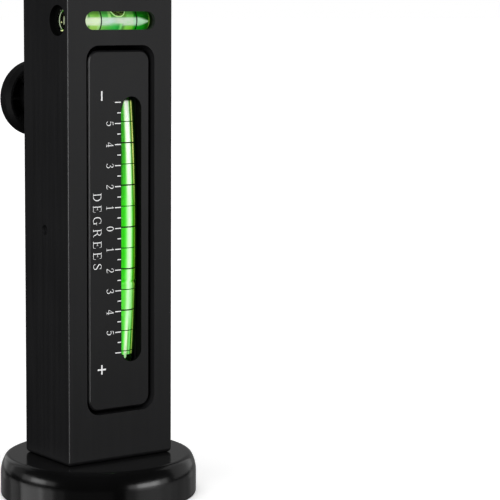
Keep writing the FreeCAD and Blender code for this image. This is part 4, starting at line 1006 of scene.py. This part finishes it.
WINDOW_R, WINDOW_LOW, WINDOW_HIGH, LIP = 3.0, 34.9, 101.7, 0.55
verts, faces = [], []
loops = [(0.01, FACE + 0.02), (0.01, FACE + LIP - 0.02), (0.04, FACE + LIP - 0.02), (0.04, FACE + 0.02)]
for inset, y in loops:
    verts += [(x, y, z) for x, z in stadium(inset)]
size = len(verts) // 4
for c in range(4):
    for k in range(size):
        n, e = (k + 1) % size, (c + 1) % 4
        faces.append((c * size + k, c * size + n, e * size + n, e * size + k))
window_shade_film = finish_mesh(mesh_object("window_shade_film", verts, faces, SHADE_FILM), 30)
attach(window_shade_film, "scale_rocker")
# and painted shade on the right wall of the vial's slot behind it: the same film, with rounded corners
verts, faces = [], []
outline = []
for cy, cz, turn in ((-6.9, 101.6, 0), (-8.9, 101.6, 1), (-8.9, 35.4, 2), (-6.9, 35.4, 3)):
    for k in range(7):
        a = rad(90 * turn + 15 * k)
        outline.append((cy + 0.5 * math.cos(a), cz + 0.5 * math.sin(a)))
for x in (7.185, 7.150):
    verts += [(x, y, z) for y, z in outline]
size = len(outline)
faces.append(tuple(range(size)))
faces.append(tuple(range(size, 2 * size)))
faces += [(k, (k + 1) % size, size + (k + 1) % size, size + k) for k in range(size)]
slot_shade_film = finish_mesh(mesh_object("slot_shade_film", verts, faces, SHADE_FILM), 30)
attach(slot_shade_film, "scale_rocker")


# ---------------------------------------------------------------------------------------------------------------
# Thumb screw: the stud with its rolled thread, and the two springs
# ---------------------------------------------------------------------------------------------------------------
def thread_rod(name, y0, y1, crest, root, pitch, material, around=64):
    """A rod along Y with a helical thread between y0 and y1, and plain ends."""
    lo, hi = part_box("knob_stud")
    end0, end1 = lo.y / MM, hi.y / MM
    per_turn = 14
    verts, faces, loops = [], [], []

    def ring(y, radius):
        start = len(verts)
        for k in range(around):
            a = 2 * math.pi * k / around
            r = radius(a) if callable(radius) else radius
            verts.append((r * math.cos(a), y, KNOB_Z + r * math.sin(a)))
        return list(range(start, start + around))

    def tip(y):
        verts.append((0.0, y, KNOB_Z))
        return [len(verts) - 1]

    loops.append(tip(end0))
    loops.append(ring(end0, 1.2))
    loops.append(ring(end0 + 0.3, 1.5))
    loops.append(ring(4.40, 1.5))
    loops.append(ring(4.42, 1.9))
    count = int((y1 - y0) / pitch * per_turn)
    for i in range(count + 1):
        y = y0 + (y1 - y0) * i / count
        fade = min(1.0, i / per_turn, (count - i) / per_turn)

        def radius(a, y=y, fade=fade):
            phase = (y / pitch + a / (2 * math.pi)) % 1.0
            tooth = 1.0 - abs(2 * phase - 1)
            depth = min(1.0, max(0.0, (tooth - 0.12) / 0.72))
            return crest - (crest - root) * depth * fade

        loops.append(ring(y, radius))
    loops.append(ring(end1 - 0.3, crest))
    loops.append(ring(end1, crest - 0.3))
    loops.append(tip(end1))
    for p, q in zip(loops, loops[1:]):
        for k in range(around):
            n = (k + 1) % around
            if len(p) == 1:
                faces.append((p[0], q[k], q[n]))
            elif len(q) == 1:
                faces.append((p[n], p[k], q[0]))
            else:
                faces.append((p[n], p[k], q[k], q[n]))
    return finish_mesh(mesh_object(name, verts, faces, material), 50)


stud = thread_rod("knob_stud_threaded", 4.7, 24.2, 2.495, 2.06, 0.8, STUD)
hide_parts("knob_stud")
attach(stud, "adjuster")


def coil(name, x, z, mean, wire, y0, y1, turns, material, around=14, per_turn=40, closed=1.15):
    """A compression spring along Y with closed ends, which lie flat on their seats."""
    total = turns + 2 * closed
    count = int(total * per_turn)
    flat = 2 * wire * closed * 1.02
    open_run = (y1 - y0) - 2 * wire - 2 * flat

    def height(turn):
        if turn <= closed:
            return flat * turn / closed
        if turn >= closed + turns:
            return flat + open_run + flat * (turn - closed - turns) / closed
        s = (turn - closed) / turns
        return flat + open_run * s

    verts, faces = [], []
    path = []
    for i in range(count + 1):
        turn = total * i / count
        # the height is smoothed over a tenth of a turn, so that the wire has no kink
        h = sum(height(min(total, max(0.0, turn + k * 0.025))) for k in range(-4, 5)) / 9
        a = 2 * math.pi * turn
        path.append(Vector((x + mean * math.cos(a), y0 + wire + h, z + mean * math.sin(a))))
    axis = Vector((0, 1, 0))
    centre = Vector((x, 0, z))
    for i, p in enumerate(path):
        tangent = (path[min(i + 1, count)] - path[max(i - 1, 0)]).normalized()
        out = Vector((p.x - x, 0, p.z - z)).normalized()
        side = tangent.cross(out).normalized()
        out = side.cross(tangent).normalized()
        grow = 1.0
        for k in range(around):
            a = 2 * math.pi * k / around
            q = p + (out * math.cos(a) + side * math.sin(a)) * wire * grow
            q.y = min(max(q.y, y0 + 0.02), y1 - 0.02)  # the end coils are ground flat
            verts.append(tuple(q))
    for i in range(count):
        for k in range(around):
            n = (k + 1) % around
            faces.append((i * around + k, i * around + n, (i + 1) * around + n, (i + 1) * around + k))
    faces.append(tuple(range(around)))
    faces.append(tuple(count * around + k for k in range(around)))
    return finish_mesh(mesh_object(name, verts, faces, material), 50)


knob_coil = coil("knob_spring_wire", 0.0, KNOB_Z, 3.7, 0.5, 11.56, 24.39, 4.4, WIRE)
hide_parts("knob_spring")
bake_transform(knob_coil)
return_coil = coil("return_spring_wire", -3.8, 28.2, 2.1, 0.3, -2.68, 8.23, 6.0, WIRE)
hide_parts("return_spring")
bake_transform(return_coil)

# ---------------------------------------------------------------------------------------------------------------
# Studio
# ---------------------------------------------------------------------------------------------------------------
scene = bpy.context.scene

floor_mesh = bpy.data.meshes.new("studio_floor")
side, cells = 9.0, 24
grid = [(-side + 2 * side * i / cells, -side + 2 * side * j / cells, 0.0) for j in range(cells + 1) for i in range(cells + 1)]
quads = [
    (j * (cells + 1) + i, j * (cells + 1) + i + 1, (j + 1) * (cells + 1) + i + 1, (j + 1) * (cells + 1) + i)
    for j in range(cells)
    for i in range(cells)
]
floor_mesh.from_pydata(grid, [], quads)
FLOOR = Mat("studio_floor", (0.88, 0.88, 0.88), 0.7, Specular_IOR_Level=0.2)
FLOOR.tint(FLOOR.noise(3, detail=2.0), (0.90, 0.90, 0.90), (0.93, 0.93, 0.93))
FLOOR.set("Emission Color", (1, 1, 1, 1))
FLOOR.set("Emission Strength", 0.30)
floor_mesh.materials.append(FLOOR.m)
floor = bpy.data.objects.new("studio_floor", floor_mesh)
scene.collection.objects.link(floor)
# the gauge is black and glossy: only the soft boxes show in it
floor.visible_glossy = False
floor.visible_diffuse = False
floor.visible_shadow = False

world = bpy.data.worlds.new("studio")
scene.world = world
world.use_nodes = True
bg = world.node_tree.nodes["Background"]
bg.inputs["Color"].default_value = (1, 1, 1, 1)
bg.inputs["Strength"].default_value = 1.0
world.cycles_visibility.diffuse = False
world.cycles_visibility.glossy = False


bar_lit = bpy.data.collections.new("lit_by_soft_boxes")
cup_lit = bpy.data.collections.new("lit_by_low_boxes")
cup_lit.objects.link(nodes["base_cup"])
vial_lit = bpy.data.collections.new("lit_by_vial_box")
near_lit = bpy.data.collections.new("lit_by_near_strip")
knob_lit = bpy.data.collections.new("lit_by_knob_box")
for part in ("knob_head", "knob_cap"):
    knob_lit.objects.link(nodes[part])
back_lit = bpy.data.collections.new("lit_from_behind")
back_lit.objects.link(nodes["body_bar"])
VIALS = (tube, liquid, bubble, strong, thin, tip, glass, column, cross_bubble, bubble_rim_highlight, cross_rings)
for o in scene.objects:
    if o in VIALS:
        vial_lit.objects.link(o)
    elif o.type == "MESH" and o not in (nodes["base_cup"], floor):
        bar_lit.objects.link(o)
        if o not in (nodes["knob_head"], nodes["knob_cap"]):
            near_lit.objects.link(o)
# the liquids glow a little in the vials only, not on the walls round them
for o in (liquid, bubble, column):
    o.light_linking.receiver_collection = vial_lit


def panel(name, azimuth, distance, wide, low, high, radiance, lit=None):
    """An upright soft box that faces the gauge. Azimuth 0 is in front, at -Y, and grows towards +X."""
    a = rad(azimuth)
    to = Vector((math.sin(a), -math.cos(a), 0.0))
    light = bpy.data.lights.new(name, "AREA")
    light.shape = "RECTANGLE"
    light.size, light.size_y = wide, high - low
    # a flat Lambert emitter: power = radiance x area x pi
    light.energy = radiance * wide * (high - low) * math.pi
    o = bpy.data.objects.new(name, light)
    scene.collection.objects.link(o)
    o.location = to * distance + Vector((0, 0, (low + high) / 2))
    o.rotation_mode = "QUATERNION"
    o.rotation_quaternion = to.to_track_quat("Z", "Y")
    o.visible_camera = False
    if lit:
        o.light_linking.receiver_collection = lit
    return o


def low_box(name, azimuth, spread, from_el, to_el, radiance):
    """A soft box for the glossy base alone, by the angles at which the base sees it."""
    reach = 0.8
    return panel(name, azimuth, reach, 2 * reach * math.tan(rad(spread)), 0.006 + reach * math.tan(rad(from_el)), 0.006 + reach * math.tan(rad(to_el)), radiance, cup_lit)


panel("soft_right", 30, 0.80, 0.80, -0.085, 0.40, 2.0, bar_lit)
panel("strip_near", -54, 1.20, 0.64, -0.20, 0.90, 17.0, near_lit)
panel("soft_left", -110, 0.90, 0.88, -0.11, 0.60, 0.55, bar_lit)
panel("backdrop", 144, 1.50, 3.00, -0.45, 1.00, 0.28)
panel("knob_left", -88, 1.00, 1.60, -0.85, 0.35, 1.0, knob_lit)
panel("soft_back", 150, 0.90, 1.20, 0.45, 1.25, 6.5, back_lit)
panel("soft_far_right", 108, 1.00, 0.50, 0.30, 0.90, 3.0, bar_lit)
panel("vial_right", 30, 0.80, 0.70, -0.13, 0.40, 0.5, vial_lit)
# the base's two bright arcs, each a box with a wider and dimmer one behind it
low_box("arc_right", 27, 14, -5, 7, 4.6)
low_box("arc_right_wide", 28, 26, -6, 8, 1.8)
low_box("arc_left", -106, 10, 3, 14, 3.2)
low_box("arc_left_wide", -107, 24, 2, 15, 1.3)
# the ring of low light round it
for i, (azimuth, spread, radiance) in enumerate((
    (-168, 13, 0.20), (-147, 9, 0.62), (-117, 17, 2.00), (-95, 9, 1.30), (-80, 8, 0.35), (-45, 30, 0.10), (6.5, 7, 0.45),
    (30, 17, 0.90), (54, 6.5, 0.70), (66, 6, 0.52), (82, 10, 0.37), (102, 10, 0.27),
)):
    low_box(f"wall_{i}", azimuth, spread, -26, -7, radiance)
low_box("round_back", -174, 20, -4, 45, 0.48)
low_box("round_left", -146, 14, 3, 42, 0.34)
low_box("round_right", 90, 25, -3, 45, 0.60)
top = bpy.data.lights.new("overhead", "AREA")
top.shape = "SQUARE"
top.size = 1.4
top.energy = 0.28 * 1.4 * 1.4 * math.pi
top_o = bpy.data.objects.new("overhead", top)
scene.collection.objects.link(top_o)
top_o.location = (0, 0, 1.3)
top_o.visible_camera = False
top_o.light_linking.receiver_collection = bar_lit
sun = bpy.data.lights.new("soft_top", "SUN")
sun.energy = 2.9
sun.angle = rad(70)
sun_o = bpy.data.objects.new("soft_top", sun)
scene.collection.objects.link(sun_o)
sun_o.rotation_euler = (rad(8), rad(-6), 0)
sun_o.visible_glossy = False

# ---------------------------------------------------------------------------------------------------------------
# Camera: the photograph's viewing angle
# ---------------------------------------------------------------------------------------------------------------
yaw, pitch, roll = 0.631787, 0.112997, 0.006127
forward = Vector((math.sin(yaw) * math.cos(pitch), math.cos(yaw) * math.cos(pitch), -math.sin(pitch)))
right = Vector((math.cos(yaw), -math.sin(yaw), 0.0))
up = right.cross(forward)
right, up = right * math.cos(roll) + up * math.sin(roll), up * math.cos(roll) - right * math.sin(roll)
cam_data = bpy.data.cameras.new("camera")
cam_data.sensor_width = 36.0
cam_data.lens = 144.0
cam_data.shift_y = -0.05
cam_data.clip_start, cam_data.clip_end = 0.01, 100.0
cam = bpy.data.objects.new("camera", cam_data)
scene.collection.objects.link(cam)
cam.location = (-0.266504, -0.429343, 0.126171)
cam.rotation_mode = "QUATERNION"
cam.rotation_quaternion = Matrix((right, up, -forward)).transposed().to_quaternion()
scene.camera = cam

scene.view_settings.view_transform = "Standard"
scene.view_settings.look = "None"
scene.view_settings.exposure = 0.0
scene.view_settings.gamma = 0.85
scene.cycles.use_denoising = True
scene.cycles.max_bounces = 14
scene.cycles.transmission_bounces = 12
scene.cycles.glossy_bounces = 6
